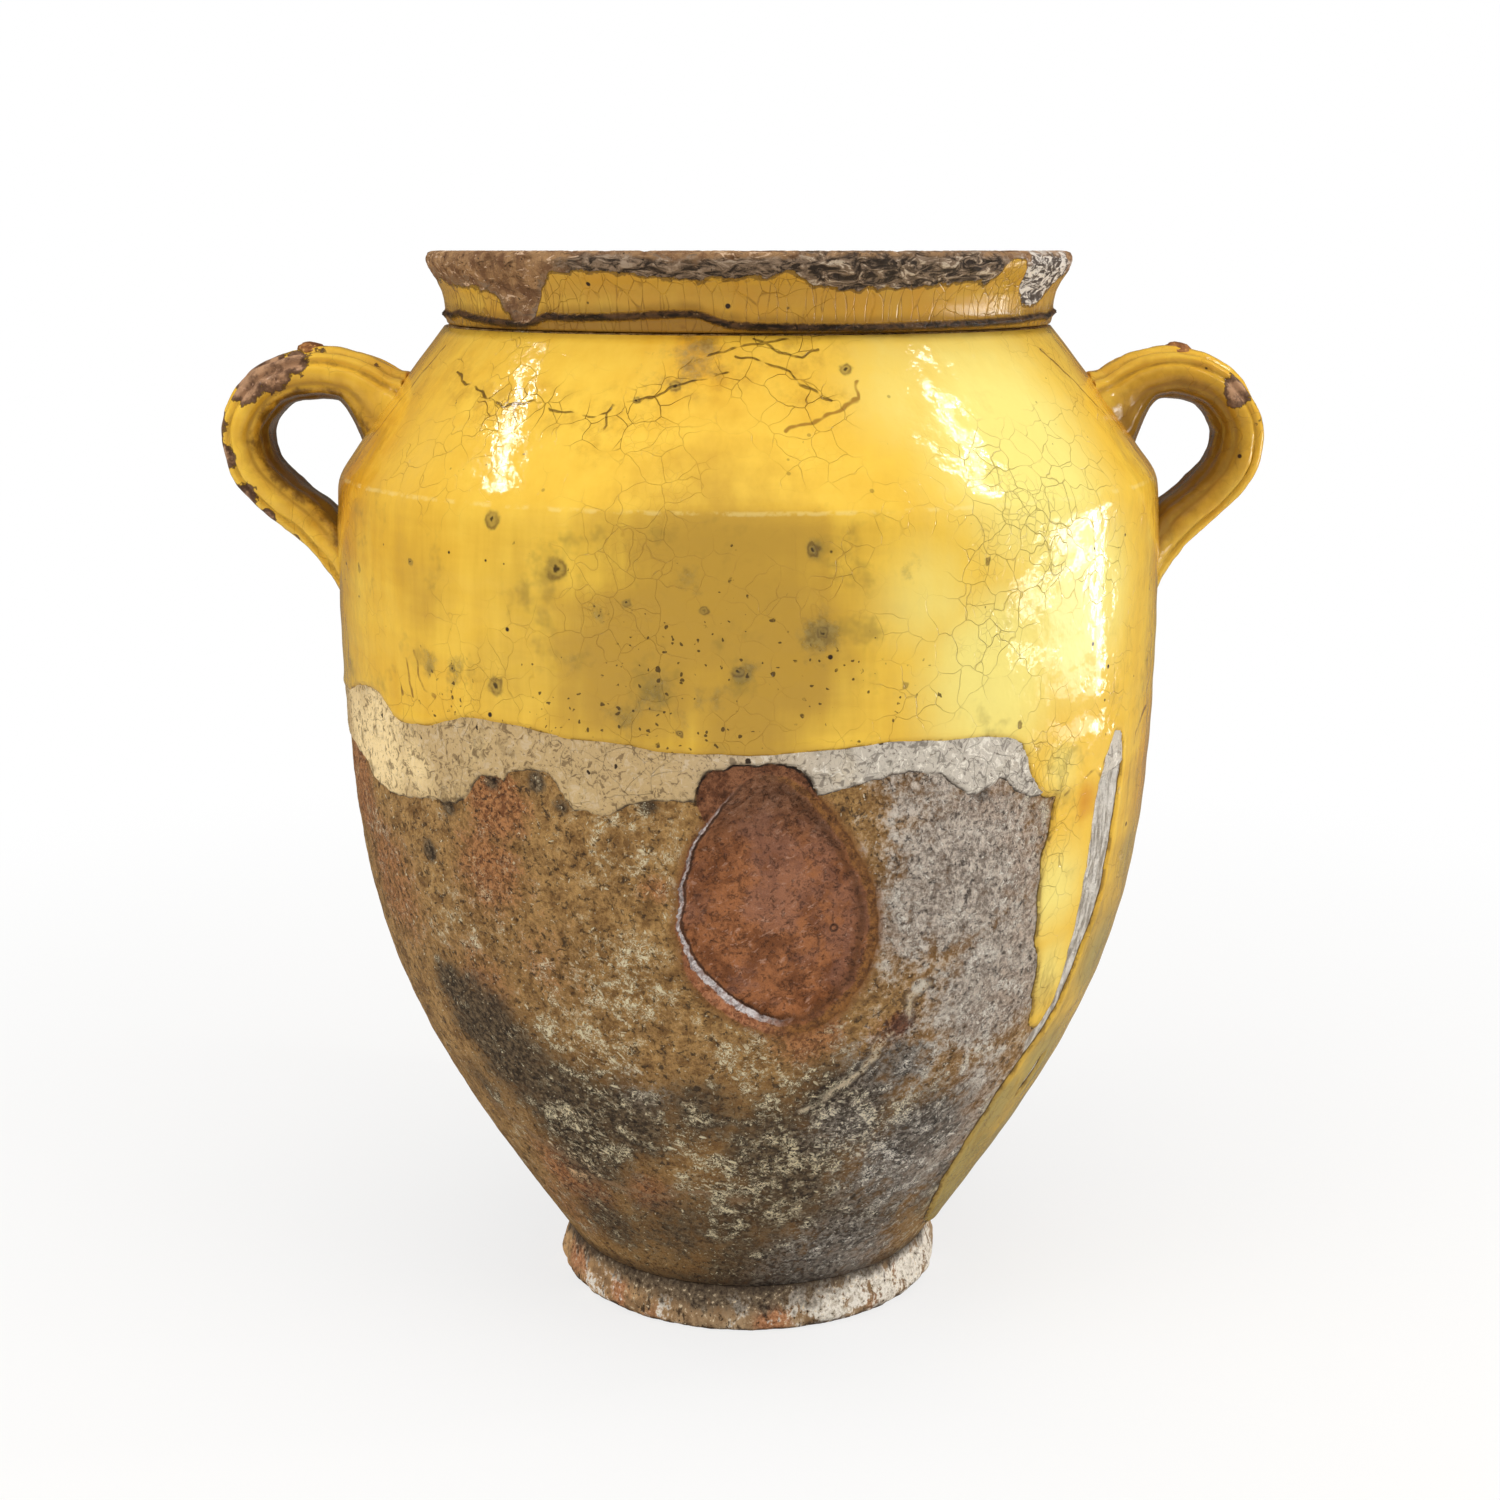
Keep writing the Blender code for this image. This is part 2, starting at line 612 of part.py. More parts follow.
def main():
    clear_scene()
    jar = new_collection("confit_jar")
    cutters = new_collection("cutters")

    core = body_core("wall_core", SEAT_GAP, cutters)
    spall = make_spall_cutter(cutters)

    lower_body = make_lower_body(jar)
    cut(lower_body, spall)
    upper_body = make_upper_body(jar)
    foot_ring = make_foot_ring(jar)
    collar = make_rim_collar(jar)

    left, left_room = make_handle("left_handle", -1, LEFT_HANDLE_REACH, core, jar, cutters)
    right, right_room = make_handle("right_handle", 1, RIGHT_HANDLE_REACH, core, jar, cutters)
    left_button = make_button("left_handle_button", -1, LEFT_HANDLE_REACH, left_room, jar)
    right_button = make_button("right_handle_button", 1, RIGHT_HANDLE_REACH, right_room, jar)

    outer_glaze = make_coat("outer_glaze", GLAZE_THICKNESS, jar)
    cut(outer_glaze, edge_ring("below_glaze", lambda angle: -FOOT_HEIGHT, glaze_edge, cutters))
    cut(outer_glaze, left_room)
    cut(outer_glaze, right_room)
    slip_band = make_coat("slip_band", SLIP_THICKNESS, jar)
    band = edge_ring("slip_reach", slip_edge, lambda angle: glaze_edge(angle) - SEAT_GAP, cutters)
    cut(slip_band, band, "INTERSECT")
    cut(slip_band, spall)
    lining = make_lining(jar)

    for piece, finish in (
        (lower_body, CLAY), (upper_body, CLAY), (foot_ring, FOOT_CLAY), (collar, HANDLE_GLAZE),
        (left, HANDLE_GLAZE), (right, HANDLE_GLAZE), (left_button, BUTTON_CLAY),
        (right_button, BUTTON_CLAY), (outer_glaze, YELLOW), (slip_band, SLIP), (lining, LINING),
    ):
        finish_with(piece, finish)
        piece.data.shade_smooth()
        piece.data.set_sharp_from_angle(angle=math.radians(35))


main()
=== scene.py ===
import math

import bmesh
import bpy
import numpy as np
from mathutils import Matrix, Vector, noise
from mathutils.geometry import interpolate_bezier


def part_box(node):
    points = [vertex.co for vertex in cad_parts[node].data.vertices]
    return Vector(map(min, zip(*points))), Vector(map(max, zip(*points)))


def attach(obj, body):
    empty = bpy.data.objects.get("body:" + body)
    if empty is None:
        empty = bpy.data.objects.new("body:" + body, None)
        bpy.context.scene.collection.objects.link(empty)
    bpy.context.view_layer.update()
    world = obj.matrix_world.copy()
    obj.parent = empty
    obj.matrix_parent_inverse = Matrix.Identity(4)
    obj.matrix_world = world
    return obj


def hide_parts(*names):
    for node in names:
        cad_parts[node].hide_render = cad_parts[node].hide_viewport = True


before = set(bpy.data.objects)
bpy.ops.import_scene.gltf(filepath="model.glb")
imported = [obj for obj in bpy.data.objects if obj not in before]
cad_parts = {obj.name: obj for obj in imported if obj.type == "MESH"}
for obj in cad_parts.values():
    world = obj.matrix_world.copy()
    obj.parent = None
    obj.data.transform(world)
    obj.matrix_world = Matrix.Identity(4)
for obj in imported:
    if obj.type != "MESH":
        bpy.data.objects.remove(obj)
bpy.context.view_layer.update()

# The clay wall: floor, belly and shoulder of red clay, thrown on a wheel in two parts and joined at the
# edge. Its lower half was never glazed, and has been smoked and scorched at the hearth. A pear-shaped
# flake has gone from its front. Drawn in mm, and in degrees round from the front towards the right handle.

# Outside of the clay as curves: start, its pull, the end's pull, end, each a radius and a height
WALL_CURVES = [
    ((65.6, 16), (132.4, 113.2), (139.1, 144), (139.1, 246)),
    ((139.1, 246), (139.1, 264), (139.1, 264), (138.2, 281)),
    ((138.2, 281), (138.0, 286.8), (136.9, 288.0), (132.4, 293.9)),
    ((132.4, 293.9), (122.2, 308.4), (111.2, 322.6), (100.5, 336)),
]
WALL_INSIDE = [
    (91.5, 335.6), (124.7, 289.2), (127.9, 285), (129.2, 281), (130, 264), (130.1, 246), (129.8, 214.7),
    (128.6, 187.7), (126, 163.9), (121.7, 142), (115.3, 121), (106.2, 99.9), (94, 77), (78.1, 51),
    (60.8, 25), (56.5, 19.2), (52, 16.8), (46, 16.2), (24, 16.2), (0, 16.2),
]
WALL_UNDER = [(0, 1.5), (30, 1.5), (58.5, 1.5), (58.5, 14)]
CURVE_POINTS = 60
WALL_FOOT = 16
WALL_TOP = 336
# The widest that any coat and the clay under it may reach, in mm from the axis
BELLY_LIMIT = 139.97
CLAY_LIMIT = BELLY_LIMIT - 0.6
# A turned piece is copied round from narrow slices; the front has more faces for its finer marks
SLICES = 20
FRONT_STEPS = 300
BACK_STEPS = 180
SAME_PLACE = 0.001

# The flake's outline, and the peeled patch of slip that joins it above: angle, height
SPALL = [
    (0.8, 213.3), (-1.4, 209), (-3.2, 204), (-5.2, 198), (-6.6, 192), (-7.7, 185), (-8.5, 178),
    (-8.9, 171), (-9, 164), (-8.6, 156), (-7.9, 150), (-6.8, 145), (-4.9, 139.5), (-2.6, 135),
    (0.6, 131), (4.3, 128.6), (8, 129), (10.9, 132.2), (13.2, 137.5), (14.8, 143), (16, 150),
    (16.7, 158), (16.8, 166), (16.2, 174), (14.9, 182), (13.2, 190), (11.4, 196.5), (9, 203.5),
    (7, 208.8), (4.6, 212.6),
]
PEEL = [
    (-6, 203.6), (-6.3, 206.6), (-5.6, 209.6), (-4.4, 213), (-2, 214.9), (0.6, 214.6), (2.8, 215.5),
    (5.6, 214), (7.2, 211.2), (7.9, 207.6), (8.4, 204), (7, 194), (0, 190), (-4.4, 195), (-5.4, 200),
]
SPALL_DEPTH = 4.3
# Stands for well away from a drawn outline, in mm
ELSEWHERE = -50

# Places in the glaze run where it never took, so that pale slip shows
STREAK = [
    (56.8, 211), (54.6, 203), (53.4, 195), (52.5, 184), (52.6, 168), (52.3, 156), (52.2, 142.6),
    (52.6, 130), (52.4, 122), (50.8, 115), (48.8, 109), (49.9, 103.7), (52.3, 110.9), (54.2, 120.2),
    (56, 141), (57.6, 152), (58.3, 160), (58.4, 176.7), (59.2, 190), (59.7, 198), (59.4, 206),
    (58.4, 210.4),
]
NICK = [(55.6, 84), (56.4, 90), (57.6, 96.4), (58.8, 96.8), (58.4, 91), (57.4, 85)]

# What the hearth did to the clay. Each zone: angle, height, its size in mm, its strength
SOOT = [
    (-47.5, 129, 12, 1.0), (-42, 122, 18, 1.0), (-39, 106, 24, 1.0), (-31, 92, 25, 1.0), (-19, 92, 22, 0.95),
    (-30, 74, 20, 0.9), (-8, 97, 20, 0.9), (5, 84, 26, 0.95), (15, 100, 22, 1.0), (22.5, 114, 15, 0.8),
    (0, 52, 36, 0.7), (22, 50, 36, 0.8), (-14, 44, 30, 0.7), (30, 84, 24, 0.8), (45, 54, 24, 0.6),
    (4, 26, 50, 0.75), (-46.6, 177.5, 5, 0.9), (-52, 92, 14, 0.6), (-96, 60, 50, 0.8), (-140, 90, 60, 0.9),
    (178, 60, 70, 1.0), (150, 120, 40, 0.6), (-170, 150, 40, 0.4), (-34, 40, 20, 0.6),
    # The small zones near 200 mm darken the clay just under the slip's lower edge
    (-33.5, 204.5, 3.5, 0.9), (-27, 206.5, 4, 1.0), (-23.5, 200, 3.5, 0.8), (-41.5, 194, 4, 0.9),
    (-46, 118, 16, 0.9), (-12, 202.5, 4, 0.7), (30.5, 201.5, 3, 0.8), (-30, 186, 6, 0.4),
    (10, 66, 12, 0.9), (-24, 110, 9, 0.6),
]
ASH = [
    (27, 176, 40, 1.0), (36, 140, 36, 1.0), (22, 205, 22, 0.8), (24, 118, 26, 0.7), (40, 100, 24, 0.7),
    (34, 72, 32, 0.9), (50, 150, 30, 1.0), (56, 96, 26, 0.9), (-130, 170, 40, 0.5), (160, 170, 50, 0.8),
    (-16, 108, 16, 0.4), (24, 26, 30, 0.8), (16, 92, 20, 0.5),
]
RUST = [
    (-33, 198, 15, 1.0), (-36, 176, 22, 0.8), (-70, 190, 20, 1.0), (-60, 160, 30, 0.6),
    (-26, 152, 26, 0.5), (-40, 136, 20, 0.6), (8, 128, 14, 0.8), (20, 126, 9, 0.8), (-38, 60, 18, 0.9),
    (-20, 60, 14, 0.8), (-12, 176, 7, 0.7), (30, 199, 10, 0.5), (-110, 160, 40, 0.7),
    (-170, 190, 30, 0.6), (-50, 40, 20, 0.5), (100, 60, 40, 0.4), (23, 140, 7, 0.5),
]
FLECKS = [
    (-20, 150, 16, 0.8), (-16, 140, 16, 0.9), (-22, 116, 15, 1.0), (-10, 88, 12, 1.1), (-28, 124, 12, 0.7),
    (-5, 70, 14, 1.1), (-1, 118, 12, 0.8), (17, 90, 20, 1.0), (26, 64, 22, 0.6), (24, 170, 24, 0.45),
    (-16, 186, 14, 0.6), (-38, 165, 18, 0.5), (10, 100, 16, 1.0), (34, 120, 24, 0.6), (-4, 56, 16, 0.7),
    (-30, 80, 22, 0.6), (-120, 120, 50, 0.8), (170, 110, 60, 0.9), (12, 44, 22, 0.35), (30, 150, 16, 0.6),
]

curves = [
    interpolate_bezier(*[Vector((*point, 0)) for point in curve], CURVE_POINTS) for curve in WALL_CURVES
]
wall_line = np.array([point[:2] for curve in curves for point in curve])


def wall_radius(height):
    return np.interp(height, wall_line[:, 1], wall_line[:, 0])


def hand_marks(around, height):
    """How far the potter's hands left the wall from a true circle, in mm."""
    rings = 0.07 * np.sin(height / 4.6 + 0.8 * np.sin(around)) + 0.07 * np.sin(height / 2.1 + around)
    sway = 0.3 * np.sin(2 * around + 0.7 + height / 150) + 0.2 * np.sin(3 * around - height / 60)
    return (rings + sway - 0.35) * np.clip((height - WALL_FOOT) / 30, 0, 1)


def grain(spots, size, octaves=3):
    """Fractal noise of a grain size, in mm, at spots in mm."""
    return np.array([noise.fractal(Vector(spot) / size, 1.0, 2.0, octaves) for spot in spots])


def on_wall(around, radius, height):
    return np.stack([radius * np.sin(around), -radius * np.cos(around), height], 1)


def reach_inside(outline, around, height, stray=None):
    """How far inside a drawn outline each place lies, in mm along the wall; outside is negative."""
    corners = np.array(outline, float)
    corners[:, 0] = np.radians(corners[:, 0]) * wall_radius(corners[:, 1])
    here = np.stack([around * wall_radius(height), height], 1)
    if stray is not None:
        here = here + stray
    nearest = np.full(len(here), 1e9)
    inside = np.zeros(len(here), bool)
    for start, end in zip(corners, np.roll(corners, -1, 0)):
        side = end - start
        share = np.clip((here - start) @ side / (side @ side), 0, 1)
        gap = here - start - share[:, None] * side
        nearest = np.minimum(nearest, np.hypot(gap[:, 0], gap[:, 1]))
        level = here[:, 1]
        crossed = (start[1] > level) != (end[1] > level)
        at = start[0] + side[0] * (level - start[1]) / (side[1] or 1e-9)
        inside ^= crossed & (here[:, 0] < at)
    return np.where(inside, nearest, -nearest)


def zone(marks, around, height):
    """Strength of a set of soft round zones at each place."""
    total = np.zeros(len(around))
    for angle, level, size, strength in marks:
        turn = (around - math.radians(angle) + math.pi) % (2 * math.pi) - math.pi
        gap = np.hypot(turn * wall_radius(height), height - level)
        total = np.maximum(total, strength * np.exp(-((gap / size) ** 2)))
    return total


def eased(value, low, high):
    share = np.clip((value - low) / (high - low), 0, 1)
    return share * share * (3 - 2 * share)


def stray_mm(spots, size, reach):
    """A small wandering across the wall, so that a drawn edge looks broken and not cut."""
    across = grain(spots, size)
    along = grain(spots + 300, size)
    return np.stack([across, along], 1) * reach


def thrown(profile, front=FRONT_STEPS, back=BACK_STEPS):
    """A profile turned round the axis: each half is one narrow slice and its copies."""
    form = bmesh.new()
    for side, steps in ((-1, front), (1, back)):
        before = set(form.faces)
        spots = [form.verts.new((side * radius, 0, height)) for radius, height in profile]
        line = spots + [form.edges.new(pair) for pair in zip(spots, spots[1:])]
        about = {"cent": (0, 0, 0), "axis": (0, 0, 1)}
        bmesh.ops.spin(form, geom=line, angle=math.pi / SLICES, steps=steps // SLICES, **about)
        slice_faces = [face for face in form.faces if face not in before]
        corners = dict.fromkeys(part for face in slice_faces for part in (*face.verts, *face.edges))
        rest = SLICES - 1
        bmesh.ops.spin(
            form, geom=[*slice_faces, *corners], angle=math.pi * rest / SLICES, steps=rest,
            use_duplicate=True, **about)
    bmesh.ops.remove_doubles(form, verts=form.verts, dist=SAME_PLACE)
    bmesh.ops.recalc_face_normals(form, faces=form.faces)
    form.verts.ensure_lookup_table()
    return form


def round_places(form):
    """Angle from the front, radius and height of every vertex."""
    spots = np.array([vert.co for vert in form.verts])
    return np.arctan2(spots[:, 0], -spots[:, 1]), np.hypot(spots[:, 0], spots[:, 1]), spots[:, 2]


def move_to(form, spots):
    for vert, spot in zip(form.verts, spots):
        vert.co = spot


def note(form, name, values):
    """Keeps a value for every vertex, for the paint to read."""
    layer = form.verts.layers.float.new(name)
    for vert, value in zip(form.verts, values):
        vert[layer] = value


def set_out(name, data):
    """Puts a mesh, a lamp or a camera in the scene."""
    thing = bpy.data.objects.new(name, data)
    bpy.context.scene.collection.objects.link(thing)
    return thing


def note_zones(form, around, height, **zones):
    """Keeps the strength of each named set of zones for every vertex."""
    for name, marks in zones.items():
        note(form, name, zone(marks, around, height))


def to_piece(name, form):
    """The finished mesh in metres, smooth, as an object at the origin."""
    bmesh.ops.scale(form, vec=(0.001, 0.001, 0.001), verts=form.verts)
    mesh = bpy.data.meshes.new(name)
    form.to_mesh(mesh)
    form.free()
    mesh.shade_smooth()
    return set_out(name, mesh)


def clay_surface(around, height):
    """The outside of the clay with its hand marks and its rough skin, but without the flake."""
    radius = wall_radius(height) + hand_marks(around, height)
    spots = on_wall(around, radius, height)
    bare = 1 - eased(height, 214, 226)
    return radius + bare * (0.16 * grain(spots, 5) + 0.1 * grain(spots + 90, 2.2, 2))


def spall_shape(around, height):
    """Depth of the flake in mm, and how far inside its outline and the peeled patch each place is."""
    spots = on_wall(around, wall_radius(height), height)
    stray = stray_mm(spots, 7, 0.8)
    inside = reach_inside(SPALL, around, height, stray)
    peel = reach_inside(PEEL, around, height, stray * 1.3)
    left = eased(np.degrees(around), 6, -6)
    width = 10 - 6.5 * left
    dish = eased(inside, -0.3, 0) * 0.4 + eased(inside / width, 0, 1) * (SPALL_DEPTH - 1.3)
    dish += eased(inside, 5.6 - 3.2 * left, 7.2 - 3.2 * left) * 0.9
    dish += eased(peel, -0.2, 0.6) * 0.7
    lip = np.exp(-(((inside + 0.5) / 0.9) ** 2)) * left * 0.7 * eased(height, 205, 190)
    waves = 0.35 * grain(spots + 40, 14, 2) * eased(inside, 2, 8)
    return dish - lip + waves, inside, peel


# Rows lie close where the clay is bare, and at the edge of the shoulder
outer_rows = np.concatenate([
    np.arange(WALL_FOOT, 229, 1.45), np.arange(229, 281, 8.5), np.arange(281, 294, 1.6),
    np.linspace(294.5, WALL_TOP, 8),
])
clay = thrown(WALL_UNDER + [(wall_radius(z), z) for z in outer_rows] + WALL_INSIDE)
around, radius, height = round_places(clay)
outside = (radius > wall_radius(height) - 3) & (height > WALL_FOOT - 0.1)
surface = clay_surface(around, height)
dish, spall_in, peel_in = spall_shape(around, height)
surface = np.minimum(surface - dish, CLAY_LIMIT)
move_to(clay, on_wall(around, np.where(outside, surface, radius), height))
streaked = np.maximum(reach_inside(STREAK, around, height), reach_inside(NICK, around, height))
for name, inside in (("spall_in", spall_in), ("peel_in", peel_in), ("streak_in", streaked)):
    note(clay, name, np.where(outside, inside, ELSEWHERE))
note_zones(clay, around, height, soot=SOOT, ash=ASH, rust=RUST, flecks=FLECKS)
clay_wall = to_piece("clay_wall", clay)


class Paint:
    """One socket of a material. Sums on it add the nodes that work them out."""

    def __init__(self, tree, socket):
        self.tree = tree
        self.socket = socket

    def node(self, kind, settings=None, inputs=None, output=0):
        """Adds a node from its type, its settings, and the values or links of its sockets."""
        made = self.tree.nodes.new(f"ShaderNode{kind}")
        for name, value in (settings or {}).items():
            setattr(made, name, value)
        for name, value in (inputs or {}).items():
            if isinstance(value, Paint):
                self.tree.links.new(value.socket, made.inputs[name])
            else:
                made.inputs[name].default_value = value
        return Paint(self.tree, made.outputs[output])

    def maths(self, operation, first, second=0.0):
        return self.node("Math", {"operation": operation}, {0: first, 1: second})

    def __add__(self, other):
        return self.maths("ADD", self, other)

    __radd__ = __add__

    def __sub__(self, other):
        return self.maths("SUBTRACT", self, other)

    def __rsub__(self, other):
        return self.maths("SUBTRACT", other, self)

    def __mul__(self, other):
        return self.maths("MULTIPLY", self, other)

    __rmul__ = __mul__

    def __truediv__(self, other):
        return self.maths("DIVIDE", self, other)

    def least(self, other):
        return self.maths("MINIMUM", self, other)

    def most(self, other):
        return self.maths("MAXIMUM", self, other)

    def held(self):
        """Kept between 0 and 1."""
        return self.most(0.0).least(1.0)

    def size(self):
        """Without its sign."""
        return self.maths("ABSOLUTE", self)

    def sway(self, reach):
        """A noise as a push to both sides of zero."""
        return (self - 0.5) * reach

    def rise(self, low, high):
        """0 below low, 1 above high, eased between; the other way round if low is the higher."""
        settings = {"interpolation_type": "SMOOTHSTEP"}
        return self.node("MapRange", settings, {0: self, 1: low, 2: high})

    def mix(self, first, second):
        """The first colour where this is 0, the second where it is 1. Each is a code or paint."""
        pair = [tint(colour) if isinstance(colour, str) else colour for colour in (first, second)]
        return self.node("Mix", {"data_type": "RGBA"}, {0: self, 6: pair[0], 7: pair[1]}, 2)

    def noise(self, scale, detail=2.0, rough=0.5, twist=0.0):
        inputs = {
            "Vector": self, "Scale": scale, "Detail": detail, "Roughness": rough, "Distortion": twist,
        }
        return self.node("TexNoise", None, inputs)

    def cells(self, scale, feature="F1", output="Distance", spread=1.0):
        inputs = {"Vector": self, "Scale": scale, "Randomness": spread}
        return self.node("TexVoronoi", {"feature": feature}, inputs, output)

    def vectors(self, operation, first, second=None, output=0):
        inputs = {0: first} if second is None else {0: first, 1: second}
        return self.node("VectorMath", {"operation": operation}, inputs, output)

    def along(self, axis):
        """How far a place lies along X, Y or Z."""
        return self.node("SeparateXYZ", None, {0: self}, axis)

    def stretched(self, x, y, z):
        return self.vectors("MULTIPLY", self, (x, y, z))

    def shaken(self, scale, reach):
        """The place moved about by noise, in metres."""
        moves = [self.noise(scale * share, 1.0).sway(reach) for share in (1.0, 1.09, 1.19)]
        moved = self.node("CombineXYZ", None, dict(enumerate(moves)))
        return self.vectors("ADD", self, moved)

    def slanted(self, slope, stretch):
        """The place with its grain drawn out along a slope in degrees, as seen from the front."""
        turn = math.radians(slope)
        run = (math.cos(turn) * stretch, 0.0, math.sin(turn) * stretch)
        rise = (-math.sin(turn), 0.0, math.cos(turn))
        lengthwise = self.vectors("DOT_PRODUCT", self, run, 1)
        crosswise = self.vectors("DOT_PRODUCT", self, rise, 1)
        return self.node("CombineXYZ", None, {0: lengthwise, 1: self.along("Y"), 2: crosswise})

    def specks(self, scale, share, size):
        """Spots of mixed sizes: one in so many cells, the largest as wide as size of a cell."""
        gap = self.cells(scale)
        dice = self.cells(scale, "F1", "Color")
        dice = self.node("SeparateColor", None, {0: dice}, 0)
        reach = (dice - (1 - share)) * (size / share)
        return (reach - gap).rise(0.0, 0.06)

    def gap_to(self, spot):
        """Distance to a point."""
        return self.vectors("DISTANCE", self, spot, 1)

    def gap_to_line(self, spots):
        """Distance to a line through points."""
        gaps = []
        for start, end in zip(spots, spots[1:]):
            side = end - start
            offset = self.vectors("SUBTRACT", self, start)
            share = self.vectors("DOT_PRODUCT", offset, side / side.length_squared, 1).held()
            near = self.node("VectorMath", {"operation": "SCALE"}, {0: side, "Scale": share})
            gaps.append(self.vectors("DISTANCE", offset, near, 1))
        return nearest(gaps)

    def kept(self, name):
        """A value that the mesh keeps for every vertex."""
        return self.node("Attribute", {"attribute_name": name}, None, "Fac")

    def relief(self, depth, below=None):
        """A bump of this height, depth metres deep, on top of another."""
        inputs = {"Strength": 1.0, "Distance": depth, "Height": self}
        if below is not None:
            inputs["Normal"] = below
        return self.node("Bump", None, inputs)


def nearest(gaps):
    """The least of several distances."""
    closest = gaps[0]
    for gap in gaps[1:]:
        closest = closest.least(gap)
    return closest


def tint(code):
    """A colour written as a six-figure code, as the shader wants it."""
    shares = [int(code[i:i + 2], 16) / 255 for i in (0, 2, 4)]
    plain = [s / 12.92 if s <= 0.04045 else ((s + 0.055) / 1.055) ** 2.4 for s in shares]
    return (*plain, 1.0)


def new_finish(name, piece):
    """An empty material on a piece, its shader, and the place on the object that paint starts from."""
    material = bpy.data.materials.new(name)
    material.use_nodes = True
    piece.data.materials.clear()
    piece.data.materials.append(material)
    tree = material.node_tree
    shader = tree.nodes["Principled BSDF"]
    coordinates = tree.nodes.new("ShaderNodeTexCoord")
    return shader, Paint(tree, coordinates.outputs["Object"])


def lay_on(shader, **layers):
    """Puts colours, numbers or paint on the shader's sockets."""
    for name, value in layers.items():
        socket = shader.inputs[name.replace("_", " ").title()]
        if isinstance(value, Paint):
            value.tree.links.new(value.socket, socket)
        else:
            socket.default_value = value


def wall_spot(angle, level, stand=0.0):
    """A point on the wall in metres, from its angle and height in mm."""
    radius = float(wall_radius(level)) + stand
    turn = math.radians(angle)
    return Vector((radius * math.sin(turn), -radius * math.cos(turn), level)) * 0.001


def gap_to_marks(place, lines, stand=0.0):
    """Distance to the nearest of some lines drawn on the wall by angle and height."""
    return nearest([place.gap_to_line([wall_spot(*spot, stand) for spot in line]) for line in lines])


# A long graze and a ledge on the clay, the graze's two coloured ends, and a ring in the flake
SCAR = [(24.4, 142), (23, 139), (22.6, 131), (18.8, 122.4), (16.4, 113.6), (12.9, 108), (8, 98.8)]
LEDGE = [(-52, 82), (-37.7, 70), (-30.7, 62), (-20, 59), (-9.3, 62.5), (-2, 60)]
SCAR_RED_END = (21.6, 129.5)
SCAR_PALE_END = (23.6, 141.4)
SPALL_RING = (11.3, 162.9)


def paint_spall(place, spall, mottle, fine):
    """Clean red clay in the flake: a pale torn lip on the left as a painted highlight, a brown rim on the
    right with painted shade inside it, and a painted shade over its top.
    """
    across = place.along("X")
    level = place.along("Z")
    swirl = place.shaken(160, 0.004)
    smear = swirl.noise(110, 5, 0.75)
    tone = smear.rise(0.4, 0.6).mix("7b4620", "a8693c")
    tone = (place.noise(60, 5, 0.7).rise(0.46, 0.6) * 0.5).mix(tone, "9a6a55")
    ring = place.gap_to(wall_spot(*SPALL_RING, -SPALL_DEPTH))
    tone = ((ring - 0.0011).size().rise(0.0006, 0.0001) * 0.8).mix(tone, "351c0f")
    wisps = swirl.slanted(25, 0.5).noise(520, 4, 0.75)
    tone = (wisps.rise(0.57, 0.66) * 0.6).mix(tone, "c4967c")
    tone = (wisps.rise(0.42, 0.34) * 0.65).mix(tone, "4f2a15")
    # The upper part of the flake is painted darker, as shade on its upper inner wall
    shaded_top = (level + smear.sway(0.03)).rise(0.184, 0.206)
    tone = (shaded_top * 0.6).mix(tone, wisps.rise(0.4, 0.6).mix("4d3020", "86634c"))
    # Painted shade a few mm inside the right slope, and a brown rim along the right and bottom edge
    right = across.rise(0.0, 0.016).most(level.rise(0.142, 0.134))
    edge = spall + mottle.sway(3.4) + fine.sway(2.0)
    tone = (edge.rise(8.0, 4.4) * right * edge.rise(2.4, 4.6) * 0.7).mix(tone, "55300f")
    rust = fine.rise(0.4, 0.6).mix("6c421e", "95622c")
    tone = (edge.rise(3.6, 2.4) * right).mix(tone, rust)
    # The lip, pale as a painted highlight on its steep left wall, is thin at the top, and lies further in
    # and spreads to 3 mm at the bottom left
    left = (across + mottle.sway(0.02)).rise(0.014, -0.002) * level.rise(0.212, 0.2)
    low = level.rise(0.166, 0.138)
    torn = spall + mottle.sway(1.6) + fine.sway(1.4) - low * 3.0 - 0.7
    chewed = fine.rise(0.4, 0.6).mix("8c5230", "bd8057")
    tone = ((torn - 0.4).rise(0.5, -0.5) * left * low).mix(tone, chewed)
    spread = low * 0.65 + mottle.sway(1.2) + 0.35
    shadow = (torn - spread - 0.45).size().rise(0.7, 0.1) * left
    tone = (shadow * 0.85).mix(tone, "372214")
    lip = torn.size().rise(spread + 0.2, spread - 0.15) * left * level.rise(0.214, 0.196)
    return lip.mix(tone, wisps.rise(0.4, 0.6).mix("a08c86", "ddd5d3"))


